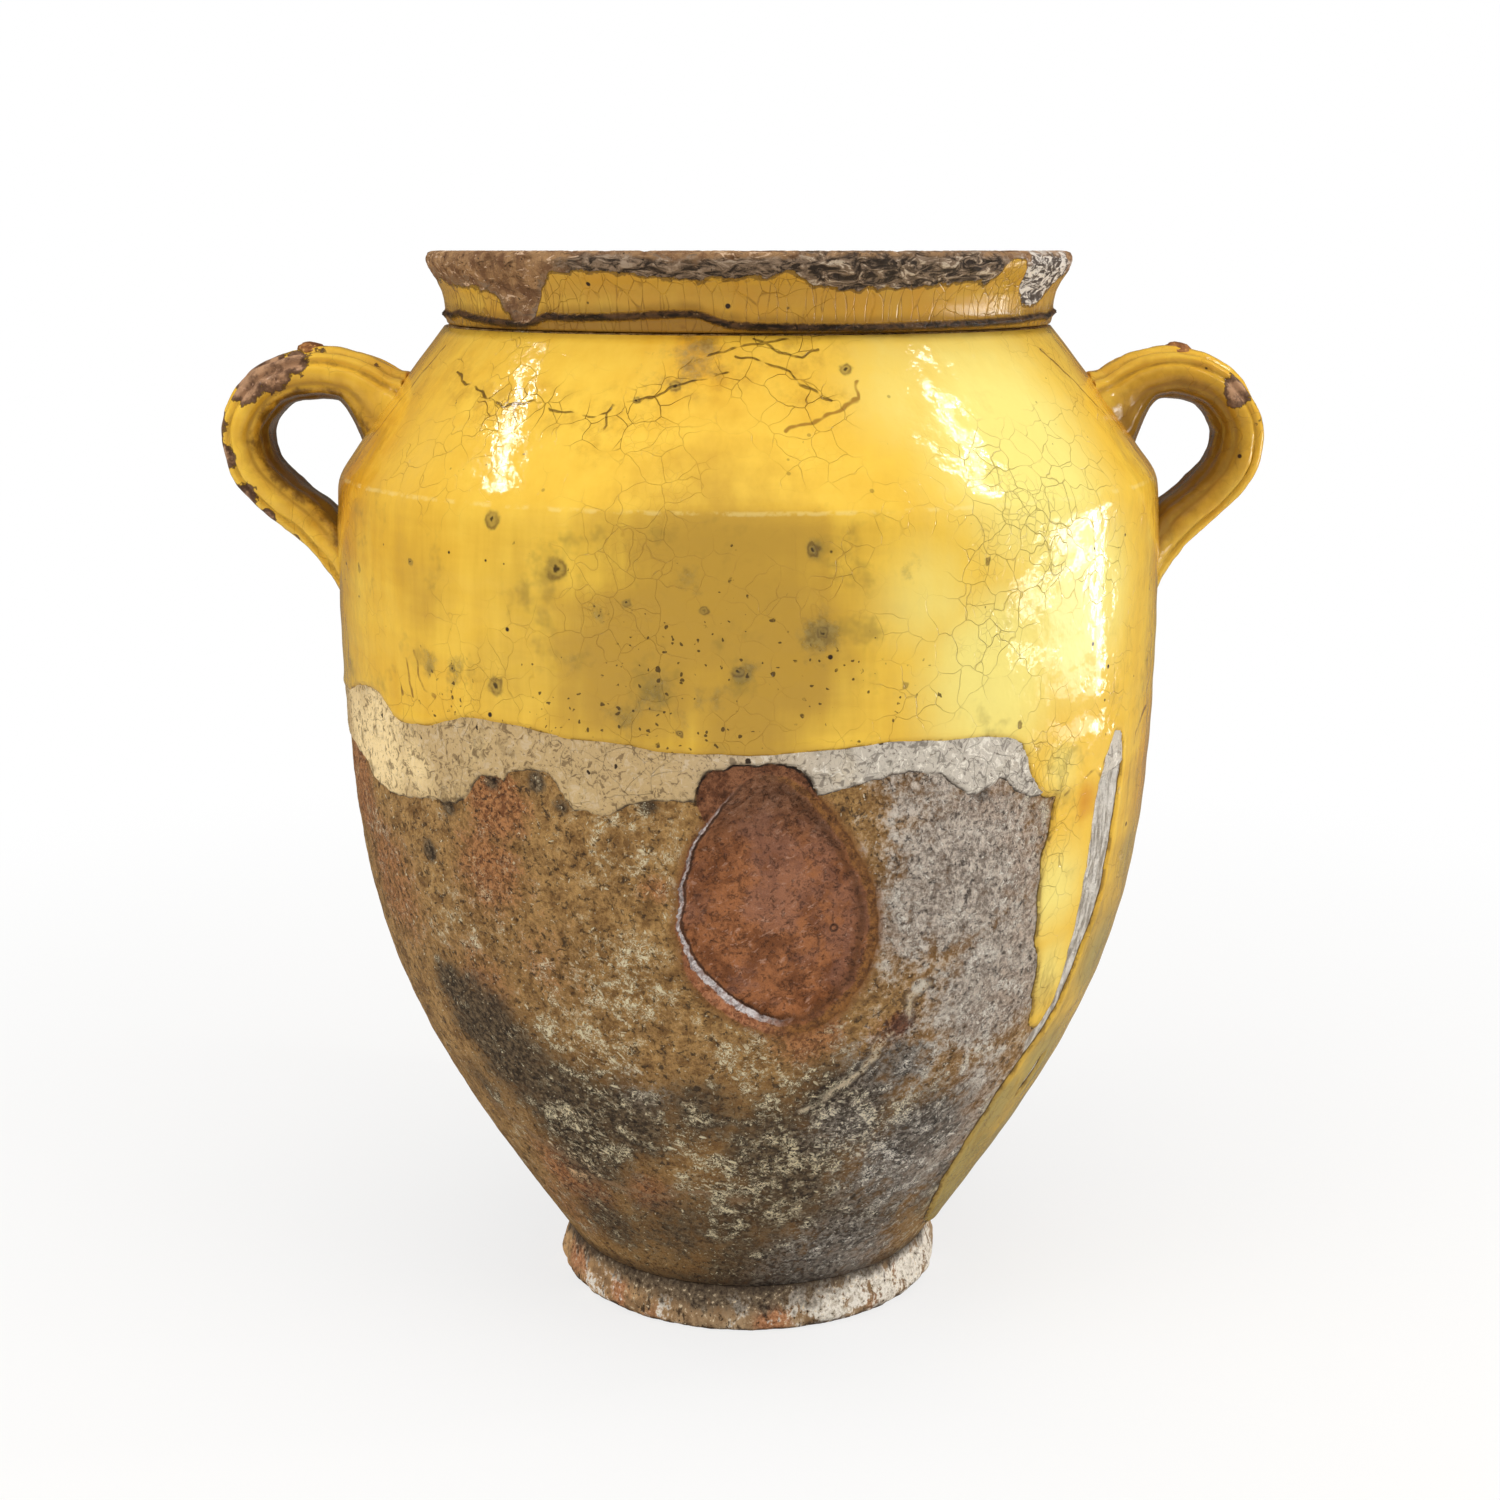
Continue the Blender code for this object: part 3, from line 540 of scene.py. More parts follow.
def paint_clay(name, piece):
    shader, place = new_finish(name, piece)
    soot, ash, rust = place.kept("soot"), place.kept("ash"), place.kept("rust")
    spall, peel = place.kept("spall_in"), place.kept("peel_in")
    height_at = place.along("Z")
    broad = place.noise(24, 4, 0.65)
    mottle = place.noise(150, 4, 0.7)
    fine = place.noise(560, 4, 0.75)
    worn = broad.sway(0.9) + mottle.sway(1.3) + fine.sway(0.7)

    # Brown clay, redder where it was scoured, grey where ash lies, black with soot
    tone = (mottle * 0.55 + fine * 0.45).rise(0.38, 0.6).mix("875f2d", "cb9d5c")
    scoured = fine.rise(0.4, 0.58).mix("855027", "c98a52")
    tone = (rust + worn).rise(0.3, 0.75).mix(tone, scoured)
    ashen = (fine * 0.7 + mottle * 0.3).rise(0.4, 0.6).mix("8a7b6d", "e0d0bf")
    ashen = (broad.rise(0.48, 0.6) * 0.55).mix(ashen, fine.rise(0.4, 0.6).mix("947d6a", "cbaf97"))
    tone = (ash + worn).rise(0.35, 0.75).mix(tone, ashen)
    smoke = (soot + worn).rise(0.25, 0.75)
    greyed = ash.rise(0.15, 0.5)
    sooted = fine.rise(0.4, 0.62).mix(
        greyed.mix("30251b", "38322c"), greyed.mix("7e694c", "988d80"))
    tone = (smoke * 0.92).mix(tone, sooted)

    # Pale grains and short strokes and curling scratches, partly painted highlights on the rough skin, and
    # dark specks, partly painted shade in its pits
    patch = place.kept("flecks") + mottle.sway(2.6) + broad.sway(1.6) - 0.12
    grit = place.shaken(300, 0.003)
    wander = place.shaken(110, 0.007)
    grains = (grit.noise(700, 2, 0.6) + patch * 0.05).rise(0.65, 0.7)
    strokes = wander.slanted(-38, 0.3).specks(520, 0.6, 0.4) * patch.rise(0.0, 0.6)
    curls = (grit.noise(340, 1, 0.5, 1.2) - 0.5).size().rise(0.05, 0.03) * fine.rise(0.51, 0.56)
    hairs = (grit.noise(640, 1, 0.5, 1.5) - 0.5).size().rise(0.08, 0.045) * mottle.rise(0.5, 0.6)
    curls = curls.most(hairs) * patch.rise(0.0, 0.7)
    pale = grains.most(strokes).most(curls) * spall.rise(0.6, -1.0)
    chalk_and_glint = ash.rise(0.2, 0.7).mix(rust.rise(0.3, 0.9).mix("f6e6be", "eabf8c"), "f6eddf")
    tone = (pale * (mottle * 1.4 + 0.15)).mix(tone, chalk_and_glint)
    dark = (grit.noise(480, 4, 0.75) - pale * 0.15).rise(0.55, 0.65)
    tone = (dark * 0.75).mix(tone, "2b2018")

    # A long pale graze edged by a thin painted shadow line, red at its upper end, and a rough ledge where
    # the wall was pared
    scar = gap_to_marks(wander, [SCAR]) + fine.sway(0.006) + mottle.sway(0.003)
    tone = ((scar - 0.0022).size().rise(0.0014, 0.0003) * 0.55).mix(tone, "352519")
    tone = (scar.rise(0.0022, 0.0008) * fine.rise(0.38, 0.56)).mix(tone, "e3cfae")
    reddish = place.gap_to(wall_spot(*SCAR_RED_END)) + mottle.sway(0.009) + fine.sway(0.006)
    raw = fine.rise(0.4, 0.6).mix("4f2813", "8a4c28")
    tone = (reddish.rise(0.0056, 0.003) * 0.9).mix(tone, raw)
    blob = place.gap_to(wall_spot(*SCAR_PALE_END)) + mottle.sway(0.006) + fine.sway(0.003)
    tone = (blob.rise(0.0034, 0.002) * fine.rise(0.34, 0.5)).mix(tone, "e4d8c4")
    ledge = gap_to_marks(wander, [LEDGE]) + mottle.sway(0.007)
    tone = (ledge.rise(0.0024, 0.0002) * fine.rise(0.35, 0.55) * 0.8).mix(tone, "a98660")

    # Dirt and painted shade in the corner over the foot
    corner_dirt_and_shade = (height_at + mottle.sway(0.006)).rise(0.024, 0.0165)
    tone = (corner_dirt_and_shade * 0.55).mix(tone, "3d3025")

    # The slip in the streaks of the run, then the flake with its rusty halo, then the peeled patch
    streak = place.kept("streak_in") + fine.sway(0.8)
    bark = place.stretched(1.0, 1.0, 0.22).noise(420, 3, 0.65).rise(0.36, 0.6)
    tone = streak.rise(-0.8, 0.2).mix(tone, bark.mix("ada191", "f6eee2"))
    halo = (spall + mottle.sway(4) + fine.sway(2)).rise(-3.2, 0.4)
    tone = (halo * 0.75).mix(tone, "96602f")
    flake = paint_spall(place, spall, mottle, fine)
    tone = (spall + fine.sway(1.0)).rise(-0.3, 0.15).mix(tone, flake)
    peeled = (mottle * 0.5 + fine * 0.5).rise(0.42, 0.58).mix("6e3f22", "a66c46")
    peeled = fine.rise(0.4, 0.34).mix(peeled, "42281a")
    tone = (peel.rise(-0.4, 0.1) * spall.rise(1.4, 0.2)).mix(tone, peeled)
    torn_edge = (peel + 0.1).size().rise(0.7, 0.2) * spall.rise(0.5, -1.0)
    torn_edge = torn_edge * height_at.rise(0.202, 0.207)
    tone = (torn_edge * mottle.rise(0.3, 0.5)).mix(tone, "33231a")

    in_flake = spall.rise(-0.5, 1.0)
    skin = mottle * 0.6 + fine * (1.3 - in_flake * 0.8) + pale * 0.3 - dark * 0.4
    lay_on(shader, base_color=tone, roughness=0.45 + mottle * 0.35, normal=skin.relief(0.002))


paint_clay("hearth_clay", clay_wall)
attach(clay_wall, "root")
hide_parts("lower_body", "upper_body")

# The yellow glaze: lead glaze over slip, dipped rim down, so that it ends in a waving line on the belly.
# It ran down the right side to the foot, with a bare streak in the run. It lies 0.9 mm over the clay.

GLAZE_STAND = 0.86
GLAZE_THICKNESS = 1.5
# How far past its edge a coat goes on, under the surface, in mm
TUCKED_UNDER = 2.4
# The glaze's edge: angle, height
GLAZE_REACH = [
    (-215, 345), (-215, 218), (-200, 215), (-188, 217), (-180, 219), (-168, 215), (-158, 210.5),
    (-149, 211), (-140, 212.5), (-132, 217), (-124, 219), (-116, 221), (-108, 219), (-100, 217.5),
    (-93, 214.6), (-86, 215), (-80, 217), (-76, 217), (-71, 218), (-66, 222), (-62, 223.6),
    (-59, 224), (-56.5, 223), (-54.5, 220.5), (-52.8, 217.6), (-50, 216.8), (-47, 217.6),
    (-44, 218), (-41, 220.6), (-38.5, 222.6), (-36, 223), (-32.5, 222.9), (-29, 222.5),
    (-23, 220.8), (-18, 220), (-12, 218.5), (-6, 217.6), (0, 217.4), (6, 217.8), (12, 219.1),
    (18.4, 220), (25, 219.5), (30, 218.6), (32.5, 217.9), (34.8, 217), (36.2, 215), (37.2, 210.5),
    (38.4, 204), (39.8, 199.2), (41.4, 197), (43.1, 196), (42.6, 190), (41.9, 184), (41.3, 178),
    (41.6, 171), (41.8, 163), (42.5, 149), (44.4, 138.5), (45.4, 128), (46.4, 120), (47.6, 115),
    (49.2, 112.6), (50.6, 113.8), (53, 113), (52.3, 110.9), (49.9, 103.7), (46.9, 91), (45.8, 80),
    (45.4, 68), (46, 53.7), (49, 41), (53, 31), (60, 25), (70, 22.6), (79, 24), (88, 21.8),
    (95, 25), (101, 34), (103, 50), (100.6, 74), (102.8, 96), (106, 118), (104.6, 140), (107, 166),
    (110, 188), (115, 203), (122, 216.5), (130, 222), (138, 221.6), (147, 215), (155, 213.6),
    (163, 216), (172, 219.4), (180, 219), (192, 217), (205, 214), (215, 218), (215, 345),
]
# Where the glaze is thick and amber, thin and lemon with a painted sheen, or dull and clouded
AMBER = [
    (-72, 285, 34, 0.9), (-84, 312, 34, 0.8), (80, 312, 30, 1.0), (84, 270, 44, 1.0), (-78, 250, 26, 0.6),
    (74, 190, 44, 0.8), (98, 120, 40, 0.7), (50, 192, 9, 1.0), (180, 250, 60, 0.6), (-40, 232, 14, 0.5),
    (56, 176, 12, 0.5), (130, 300, 50, 0.5), (-140, 290, 50, 0.6), (-8, 331, 14, 0.7),
]
LEMON = [
    (40, 300, 46, 1.0), (46, 258, 40, 1.0), (32, 238, 34, 1.0), (22, 262, 26, 0.7), (24, 318, 30, 0.6),
    (44, 206, 14, 0.7), (45, 165, 22, 0.8), (47, 135, 18, 0.8), (-160, 310, 50, 0.6),
    (120, 250, 40, 0.5), (-50, 300, 30, 0.3),
]
OLIVE = [
    (66, 190, 16, 0.6), (68, 165, 24, 0.8), (64, 130, 28, 1.0), (58, 95, 32, 1.0), (70, 60, 46, 1.0),
    (54, 40, 40, 1.0), (92, 120, 50, 0.8), (98, 60, 50, 1.0), (46, 128, 16, 0.7), (48, 82, 30, 1.0),
    (48, 60, 30, 1.0), (92, 180, 30, 0.5),
]
CLOUDED = [
    (-4, 270, 44, 0.9), (-14, 244, 34, 0.9), (4, 246, 27, 0.9), (-26, 262, 26, 0.5), (0, 228, 24, 0.8),
    (160, 240, 40, 0.7), (-120, 245, 40, 0.6), (-44, 256, 22, 0.35), (-30, 240, 20, 0.5),
]
# Where dirt sits in pinholes, and where it has spread under the glaze
PEPPER = [
    (-8, 232, 22, 1.0), (-2, 246, 20, 0.9), (-24, 230, 14, 0.8), (-31, 222, 12, 1.0), (-13, 250, 14, 0.6),
    (10, 236, 16, 0.7), (-40, 230, 12, 0.6), (20, 226, 16, 0.5), (170, 240, 26, 0.8), (-110, 236, 20, 0.6),
]
BRUISES = [
    (8.6, 253.6, 7, 1.0), (-0.6, 242, 5, 0.8), (-11, 235, 8, 0.8), (-14, 230, 7, 0.7), (-6.8, 269, 5, 0.6),
    (19, 270, 5, 0.5), (-4.4, 234, 6, 0.6), (-38.6, 236, 6, 0.7), (-44, 238, 5, 0.7), (8, 277, 5, 0.5),
    (16, 236, 4, 0.4), (-9, 331, 9, 0.7), (-13, 322, 8, 0.4), (-20, 244, 5, 0.4), (2, 262, 4, 0.4),
    (170, 262, 8, 0.6), (-125, 250, 7, 0.6), (-18, 258, 4, 0.5),
]

coat_rows = np.concatenate([
    np.arange(18, 190, 2.4), np.arange(190, 228, 1.2), np.arange(228, 281, 3.1),
    np.arange(281, 296, 1.5), np.linspace(296.5, 335.6, 15),
])
coat = thrown([(wall_radius(z), z) for z in coat_rows])
around, radius, height = round_places(coat)
spots = on_wall(around, radius, height)
stray = stray_mm(spots, 9, 1.1) * eased(height, 214, 208)[:, None] + stray_mm(spots, 16, 0.7)
glaze_in = reach_inside(GLAZE_REACH, around, height, stray)
streak_in = reach_inside(STREAK, around, height, stray_mm(spots, 5, 0.7))
nick_in = reach_inside(NICK, around, height, stray_mm(spots, 4, 0.5))
glaze_in = np.minimum(glaze_in, -np.maximum(streak_in, nick_in))
lift = np.where(glaze_in > 0, GLAZE_STAND * np.tanh(glaze_in), np.maximum(glaze_in * 0.9, -1.3))
lift += 0.2 * np.exp(-(((glaze_in - 2.2) / 1.4) ** 2))
surface = wall_radius(height) + hand_marks(around, height) + lift
slope = np.gradient(wall_line[:, 0]) / np.maximum(np.gradient(wall_line[:, 1]), 1e-6)
lean = np.interp(height, wall_line[:, 1], slope)
surface += lift * (np.sqrt(1 + np.clip(lean, -1.5, 1.5) ** 2) - 1)
surface = np.minimum(surface, BELLY_LIMIT)
move_to(coat, on_wall(around, surface, height))
note(coat, "glaze_in", glaze_in)
note_zones(
    coat, around, height, amber=AMBER, lemon=LEMON, clouded=CLOUDED, olive=OLIVE, bruise=BRUISES,
    pepper=PEPPER)


def as_shell(form, distances, thickness):
    """Drops what lies well beyond a coat's edge, and gives the rest its thickness."""
    if sum(face.normal.dot(face.calc_center_median()) for face in list(form.faces)[::97]) < 0:
        bmesh.ops.reverse_faces(form, faces=form.faces)
    beyond = {vert for vert, gap in zip(form.verts, distances) if gap < -TUCKED_UNDER}
    spare = [face for face in form.faces if all(vert in beyond for vert in face.verts)]
    bmesh.ops.delete(form, geom=spare, context="FACES")
    bmesh.ops.solidify(form, geom=list(form.faces), thickness=thickness)


as_shell(coat, glaze_in, GLAZE_THICKNESS)
yellow_coat = to_piece("yellow_coat", coat)

# Lines in the glaze by angle and height, and pits with a third value, their size in mm
CRACKS = [
    [(-53.8, 323), (-49, 320), (-44, 318), (-41.4, 316), (-38, 314.8), (-32.8, 316.6), (-29.5, 314),
     (-23, 312.7), (-20.3, 313.7), (-19.5, 316), (-16, 317.4), (-13.2, 319), (-11, 321.5),
     (-7.4, 323.2), (-2, 325.6)],
    [(-20.3, 313.7), (-19.9, 310), (-21, 305.6)],
    [(-2, 330), (2.6, 328.2), (6.4, 325.4), (7.7, 321.8), (12, 317.6)],
    [(1.1, 335), (4.3, 331.5), (8.2, 329.3), (11.6, 331.5)],
    [(-9.2, 328), (-4.6, 331), (-0.6, 333), (6.8, 334.4)],
]
GRAZE = [(5.1, 309.5), (10.2, 312.7), (14.2, 316), (16.2, 318), (16.6, 322.5)]
SEAM = [(-66, 330), (-69, 318), (-71.5, 305), (-73, 297), (-73.6, 290)]
DRIPS = [
    SEAM, [(-48.6, 238), (-48, 231), (-47.4, 227)], [(-46.6, 241), (-46, 234), (-45, 230), (-43, 227.5)],
    [(-50.4, 232), (-50, 226)], [(72.5, 216), (66.5, 211), (64.6, 207), (64.2, 198.6), (62, 196)],
    [(53, 199), (51.4, 201.4), (49, 200.4), (47, 198), (45, 196.4)],
    [(53, 199), (54.2, 204), (57.6, 209)], [(60, 330), (66, 318), (74, 300), (78, 290), (79, 250)],
]
RINGED_PITS = [
    (-32.5, 283.5, 2.3), (-23.3, 270.8, 3.0), (-32.2, 234.4, 2.4), (7.6, 277.6, 1.8), (8.6, 253.9, 1.6),
    (-1.2, 242.7, 1.5), (-14.3, 261.8, 1.2), (-5.1, 260.4, 1.1), (18.9, 237.4, 1.0), (15.1, 326.1, 1.7),
    (-10.9, 321.5, 1.7), (-16.1, 317.4, 1.2), (35.6, 221.6, 1.1), (-39.4, 238, 1.2), (-62, 262, 1.2),
    (-47, 268, 1.0), (30, 272, 1.0), (-8.1, 224.5, 1.0), (150, 268, 2.8), (-130, 240, 2.4),
]


def glaze_tone(place, amber, lemon, clouded):
    """Yellow glaze over slip: lemon where it is thin, paler there as a painted sheen, amber where it pooled,
    dull where it is clouded.
    """
    cloud = place.noise(13, 4, 0.6)
    streaks = place.stretched(1.0, 1.0, 0.12).noise(150, 3, 0.6)
    rings = place.stretched(0.15, 0.15, 1.0).noise(110, 3, 0.6)
    soft = cloud.sway(0.9) + streaks.sway(0.4) + rings.sway(0.35)
    tone = (soft + 0.5).rise(0.2, 0.85).mix("eec44a", "dda72f")
    # Lemon where the glaze is thin, its tone made paler as a painted sheen
    tone = (lemon + soft * 0.6).rise(0.2, 0.95).mix(tone, "f2e07e")
    tone = (clouded + soft * 0.9).rise(0.25, 1.0).mix(tone, "ba923a")
    tone = (amber + soft * 0.7).rise(0.3, 1.1).mix(tone, "cf8c1c")
    return tone, soft


def glaze_flaws(place, craze_share):
    """A net of crazing and a scatter of pinholes, as masks."""
    wander = place.shaken(120, 0.006)
    net = wander.cells(115, "DISTANCE_TO_EDGE").rise(0.016, 0.0)
    small = wander.cells(330, "DISTANCE_TO_EDGE").rise(0.045, 0.0)
    where = place.noise(24, 3, 0.6)
    craze = net * where.rise(0.4, 0.6) * 0.6 + small * where.rise(0.52, 0.68) * 0.35
    return (craze * craze_share).held(), place.specks(170, 0.22, 0.17)


def paint_glaze(name, piece):
    shader, place = new_finish(name, piece)
    height_at = place.along("Z")
    # Below the shoulder's edge the glaze is duller, partly its own ochre and partly painted shade of the
    # drum under the brighter shoulder
    low = height_at.rise(0.2895, 0.2865)
    tone, soft = glaze_tone(
        place, place.kept("amber"), place.kept("lemon"), place.kept("clouded") + low * 0.22)
    mottle = place.noise(150, 4, 0.65)
    fine = place.noise(620, 2, 0.6)
    olive = (place.kept("olive") + soft * 1.5 + mottle.sway(0.6)).rise(0.2, 0.95)
    tone = olive.mix(tone, place.kept("olive").rise(0.6, 1.0).mix("c6a044", "b09a55"))

    wander = place.shaken(160, 0.003)
    crack = gap_to_marks(wander, CRACKS, GLAZE_STAND)
    near = crack.rise(0.012, 0.002)
    craze, holes = glaze_flaws(place, 0.5 + place.kept("lemon") * 0.5 + near * 1.6)
    tone = (craze * 0.75).mix(tone, "7d4f1b")
    tone = (near * mottle.rise(0.4, 0.7) * 0.35).mix(tone, "9a6a20")
    split = crack.rise(0.00055, 0.00015)
    tone = (split * (0.35 + mottle * 0.8)).mix(tone, "4b2f17")
    graze = gap_to_marks(wander, [GRAZE], GLAZE_STAND)
    tone = (graze.rise(0.0009, 0.0003) * 0.8).mix(tone, "8f6222")
    drips = gap_to_marks(wander, DRIPS, GLAZE_STAND)
    tone = (drips.rise(0.0009, 0.0003) * mottle.rise(0.3, 0.55) * 0.75).mix(tone, "734a1c")

    smudged = place.shaken(420, 0.0022)
    bruise = place.kept("bruise")
    bruised = (bruise * 1.1 + mottle.sway(2.0) - 0.3).rise(0.0, 0.75)
    tone = (bruised * 0.6).mix(tone, fine.rise(0.4, 0.6).mix("4c452a", "7a7148"))
    grubby = place.noise(45, 4, 0.7) + place.kept("clouded") * 0.06 + bruise * 0.12 - 0.03
    tone = (grubby.rise(0.56, 0.74) * low * 0.5).mix(tone, "857034")
    grime = smudged.specks(430, 0.9, 0.34) * (place.kept("pepper") + mottle.sway(2.4)).rise(0.3, 0.5)
    tone = (grime * 0.85).mix(tone, "402e18")
    tone = (holes * (low * 0.6 + 0.4)).mix(tone, "33251a")

    pit = nearest([
        smudged.gap_to(wall_spot(angle, level, GLAZE_STAND)) / (size * 0.001)
        for angle, level, size in RINGED_PITS
    ])
    tone = (pit.rise(1.6, 0.7) * 0.6).mix(tone, "86703a")
    tone = ((pit - 0.95).size().rise(0.4, 0.0) * mottle.rise(0.35, 0.6) * 0.6).mix(tone, "5d4222")
    tone = (pit.rise(0.5, 0.2) * 0.9).mix(tone, "352618")

    # A thin painted highlight along the edge of the shoulder, broken up by the mottle
    crest_highlight = (height_at + mottle.sway(0.002) - 0.2877).size().rise(0.0009, 0.0002)
    tone = (crest_highlight * mottle.rise(0.42, 0.58) * 0.25).mix(tone, "f6e7a0")
    runs = place.stretched(1.0, 1.0, 0.04).noise(240, 3, 0.6).rise(0.48, 0.66)
    tone = (runs * place.kept("olive").rise(0.1, 0.6) * 0.4).mix(tone, "8f6c28")
    # Towards its edge the glaze thins to brown; the dark line right at the edge is partly thin glaze and
    # partly painted shadow under the step
    rim = place.kept("glaze_in") + fine.sway(0.5)
    tone = (rim.rise(2.4, 0.6) * 0.3).mix(tone, "a87a2c")
    tone = (rim.rise(1.5, 0.7) * mottle.rise(0.48, 0.56) * 0.6).mix(tone, "6b4c1c")
    tone = (rim.rise(0.55, 0.1) * 0.85).mix(tone, "46311a")

    skin = place.noise(60, 2, 0.5) * 1.1 + place.noise(260, 2, 0.5) * 0.22 - craze * 0.5 - split * 0.6
    lay_on(
        shader, base_color=tone, roughness=0.07 + bruised * 0.25 + mottle * 0.08 + olive * 0.1,
        normal=skin.relief(0.0009), coat_weight=0.2, coat_roughness=0.05)


paint_glaze("yellow_lead_glaze", yellow_coat)
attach(yellow_coat, "root")
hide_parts("outer_glaze")

# The slip band: white clay slip that the jar was dipped in before the glaze, a little lower than it. It is
# cream on the left, smoked grey on the right, and its lower edge has chipped away in bites.

SLIP_STAND = 0.5
SLIP_THICKNESS = 0.9
# The slip's lower edge, and a line that lies well under the glaze
SLIP_REACH = [
    (-215, 232), (-215, 200), (-200, 196), (-186, 198), (-176, 197), (-165, 191), (-150, 189),
    (-140, 192), (-130, 199), (-120, 199), (-110, 196), (-102, 193), (-95, 194), (-88, 199),
    (-80, 203), (-73.5, 202), (-68, 200.5), (-64, 198.6), (-61, 194.6), (-57, 192), (-53, 192),
    (-48, 193.6), (-43, 195), (-40, 195), (-38.4, 197.6), (-37, 201), (-35.6, 205), (-33, 206.6),
    (-32, 206), (-31.6, 204), (-31, 208.5), (-28, 210), (-25.6, 210), (-24.6, 207.6), (-23.6, 205),
    (-22, 200), (-19.7, 198), (-17.7, 197.7), (-16, 200), (-14.4, 203), (-11, 203.6), (-7, 203.7),
    (-3, 203), (7.6, 204.6), (10, 207), (13.5, 208.5), (18.5, 210.7), (24, 209.5), (26, 206),
    (28, 202), (29.4, 202), (30.5, 203), (32.8, 205.5), (34, 204.6), (35.3, 202), (38, 198.3),
    (42, 197), (50, 196), (60, 200), (80, 205), (112, 202), (124, 198), (135, 193), (148, 198),
    (160, 202), (170, 198), (184, 197), (200, 196), (215, 200), (215, 232),
]
CREAM = [
    (-58, 207, 26, 1.0), (-66, 210, 20, 0.9), (-48, 205, 14, 0.8), (-36, 214, 10, 0.4), (-100, 208, 40, 0.8),
    (-22, 204, 12, 0.4), (150, 205, 40, 0.6), (12, 213, 10, 0.4), (34, 212, 12, 0.4),
]

slip_rows = np.arange(186, 232, 1.0)
slip = thrown([(wall_radius(z), z) for z in slip_rows])
around, radius, height = round_places(slip)
spots = on_wall(around, radius, height)
slip_in = reach_inside(SLIP_REACH, around, height, stray_mm(spots, 5, 1.0) + stray_mm(spots + 70, 14, 0.8))
dish, spall_in, peel_in = spall_shape(around, height)
slip_in = np.minimum(slip_in, -np.maximum(spall_in, peel_in) - 0.3)
lift = np.where(slip_in > 0, SLIP_STAND * np.tanh(slip_in / 0.5), np.maximum(slip_in * 1.2, -1.1))
lift += 0.12 * np.exp(-(((slip_in - 1.0) / 0.8) ** 2))
surface = np.minimum(clay_surface(around, height), CLAY_LIMIT) + lift
surface -= np.where(slip_in < 0, np.maximum(dish, 0), 0)
move_to(slip, on_wall(around, surface, height))
note(slip, "slip_in", slip_in)
note_zones(slip, around, height, cream=CREAM)
as_shell(slip, slip_in, SLIP_THICKNESS)
slip_band = to_piece("white_slip_band", slip)

shader, place = new_finish("fired_white_slip", slip_band)
cream, edge = place.kept("cream"), place.kept("slip_in")
broad = place.noise(40, 4, 0.65)
mottle = place.noise(190, 4, 0.65)
fine = place.noise(700, 4, 0.7)
right_side = place.along("X").rise(-0.03, 0.04)
grey = right_side.mix("c4a674", "c8beaf")
tone = (cream + broad.sway(1.0) + mottle.sway(0.4)).rise(0.3, 0.9).mix(grey, "f6d99f")
stained = right_side.mix("8a7148", "8c8375")
tone = ((mottle * 0.7 + broad * 0.3).rise(0.52, 0.66) * 0.7).mix(tone, stained)
scuffs = place.shaken(300, 0.003).noise(330, 3, 0.65, 1.2)
tone = (scuffs.rise(0.54, 0.62) * 0.7).mix(tone, right_side.mix("6a5232", "6f665c"))
tone = (scuffs.rise(0.44, 0.36) * (right_side * 0.6 + 0.15)).mix(tone, "f1e9da")
tone = (fine.rise(0.6, 0.67) * 0.7).mix(tone, "5b4731")
craze = glaze_flaws(place, 1.0)[0]
tone = (craze * 0.6).mix(tone, "5b4a33")
tone = place.shaken(420, 0.002).specks(260, 0.22, 0.26).mix(tone, "3a2b1d")
# A dark line along the chipped lower edge, partly dirt in its crevices and partly painted shadow under the
# step
ragged = edge + fine.sway(0.8)
tone = (ragged.rise(1.1, 0.1) * mottle.rise(0.35, 0.55) * 0.9).mix(tone, "35261b")
skin = mottle * 0.4 + fine * 0.35 + scuffs * 0.3 - craze * 0.3
lay_on(shader, base_color=tone, roughness=0.4 + mottle * 0.3, normal=skin.relief(0.0012))
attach(slip_band, "root")
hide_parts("slip_band")

# The lining: the same glaze poured in and swilled round, so that the jar holds fat. It is thinner and
# browner than the outside, and stops below the bare rim.

LINING_THICKNESS = 0.35
LINING_STEPS = 120
# A point inside the bowl, which the lining's faces look at
BOWL_MIDDLE = Vector((0, 0, 180))
LINING_LINE = [
    (0, 16.9), (46, 16.9), (52, 17.3), (55.6, 19.4), (60.1, 25.5), (77.4, 51.5), (93.2, 77.4),
    (105.4, 100.4), (114.4, 121.7), (120.8, 142.5), (125.1, 164.1), (127.6, 187.8), (128.9, 214.7),
    (129.2, 246), (129.1, 263.7), (128.3, 280.8), (127.9, 283.1), (126.7, 285), (123.9, 288.7),
    (90.9, 335.4), (91.3, 345.2),
]


def lengths_along(line):
    """The distance from a line's start to each of its points."""
    return np.concatenate([[0], np.cumsum(np.hypot(*np.diff(line[:, :2], axis=0).T))])


def even_profile(corners, count, dense_until=0, dense_count=1):
    """Even points along a profile, and closer ones on a first stretch of so many mm."""
    line = np.array(corners, float)
    lengths = lengths_along(line)
    dense = np.linspace(0, dense_until, dense_count)[:-1]
    places = np.concatenate([dense, np.linspace(dense_until, lengths[-1], count)])
    return np.stack([np.interp(places, lengths, side) for side in line.T], 1).tolist()


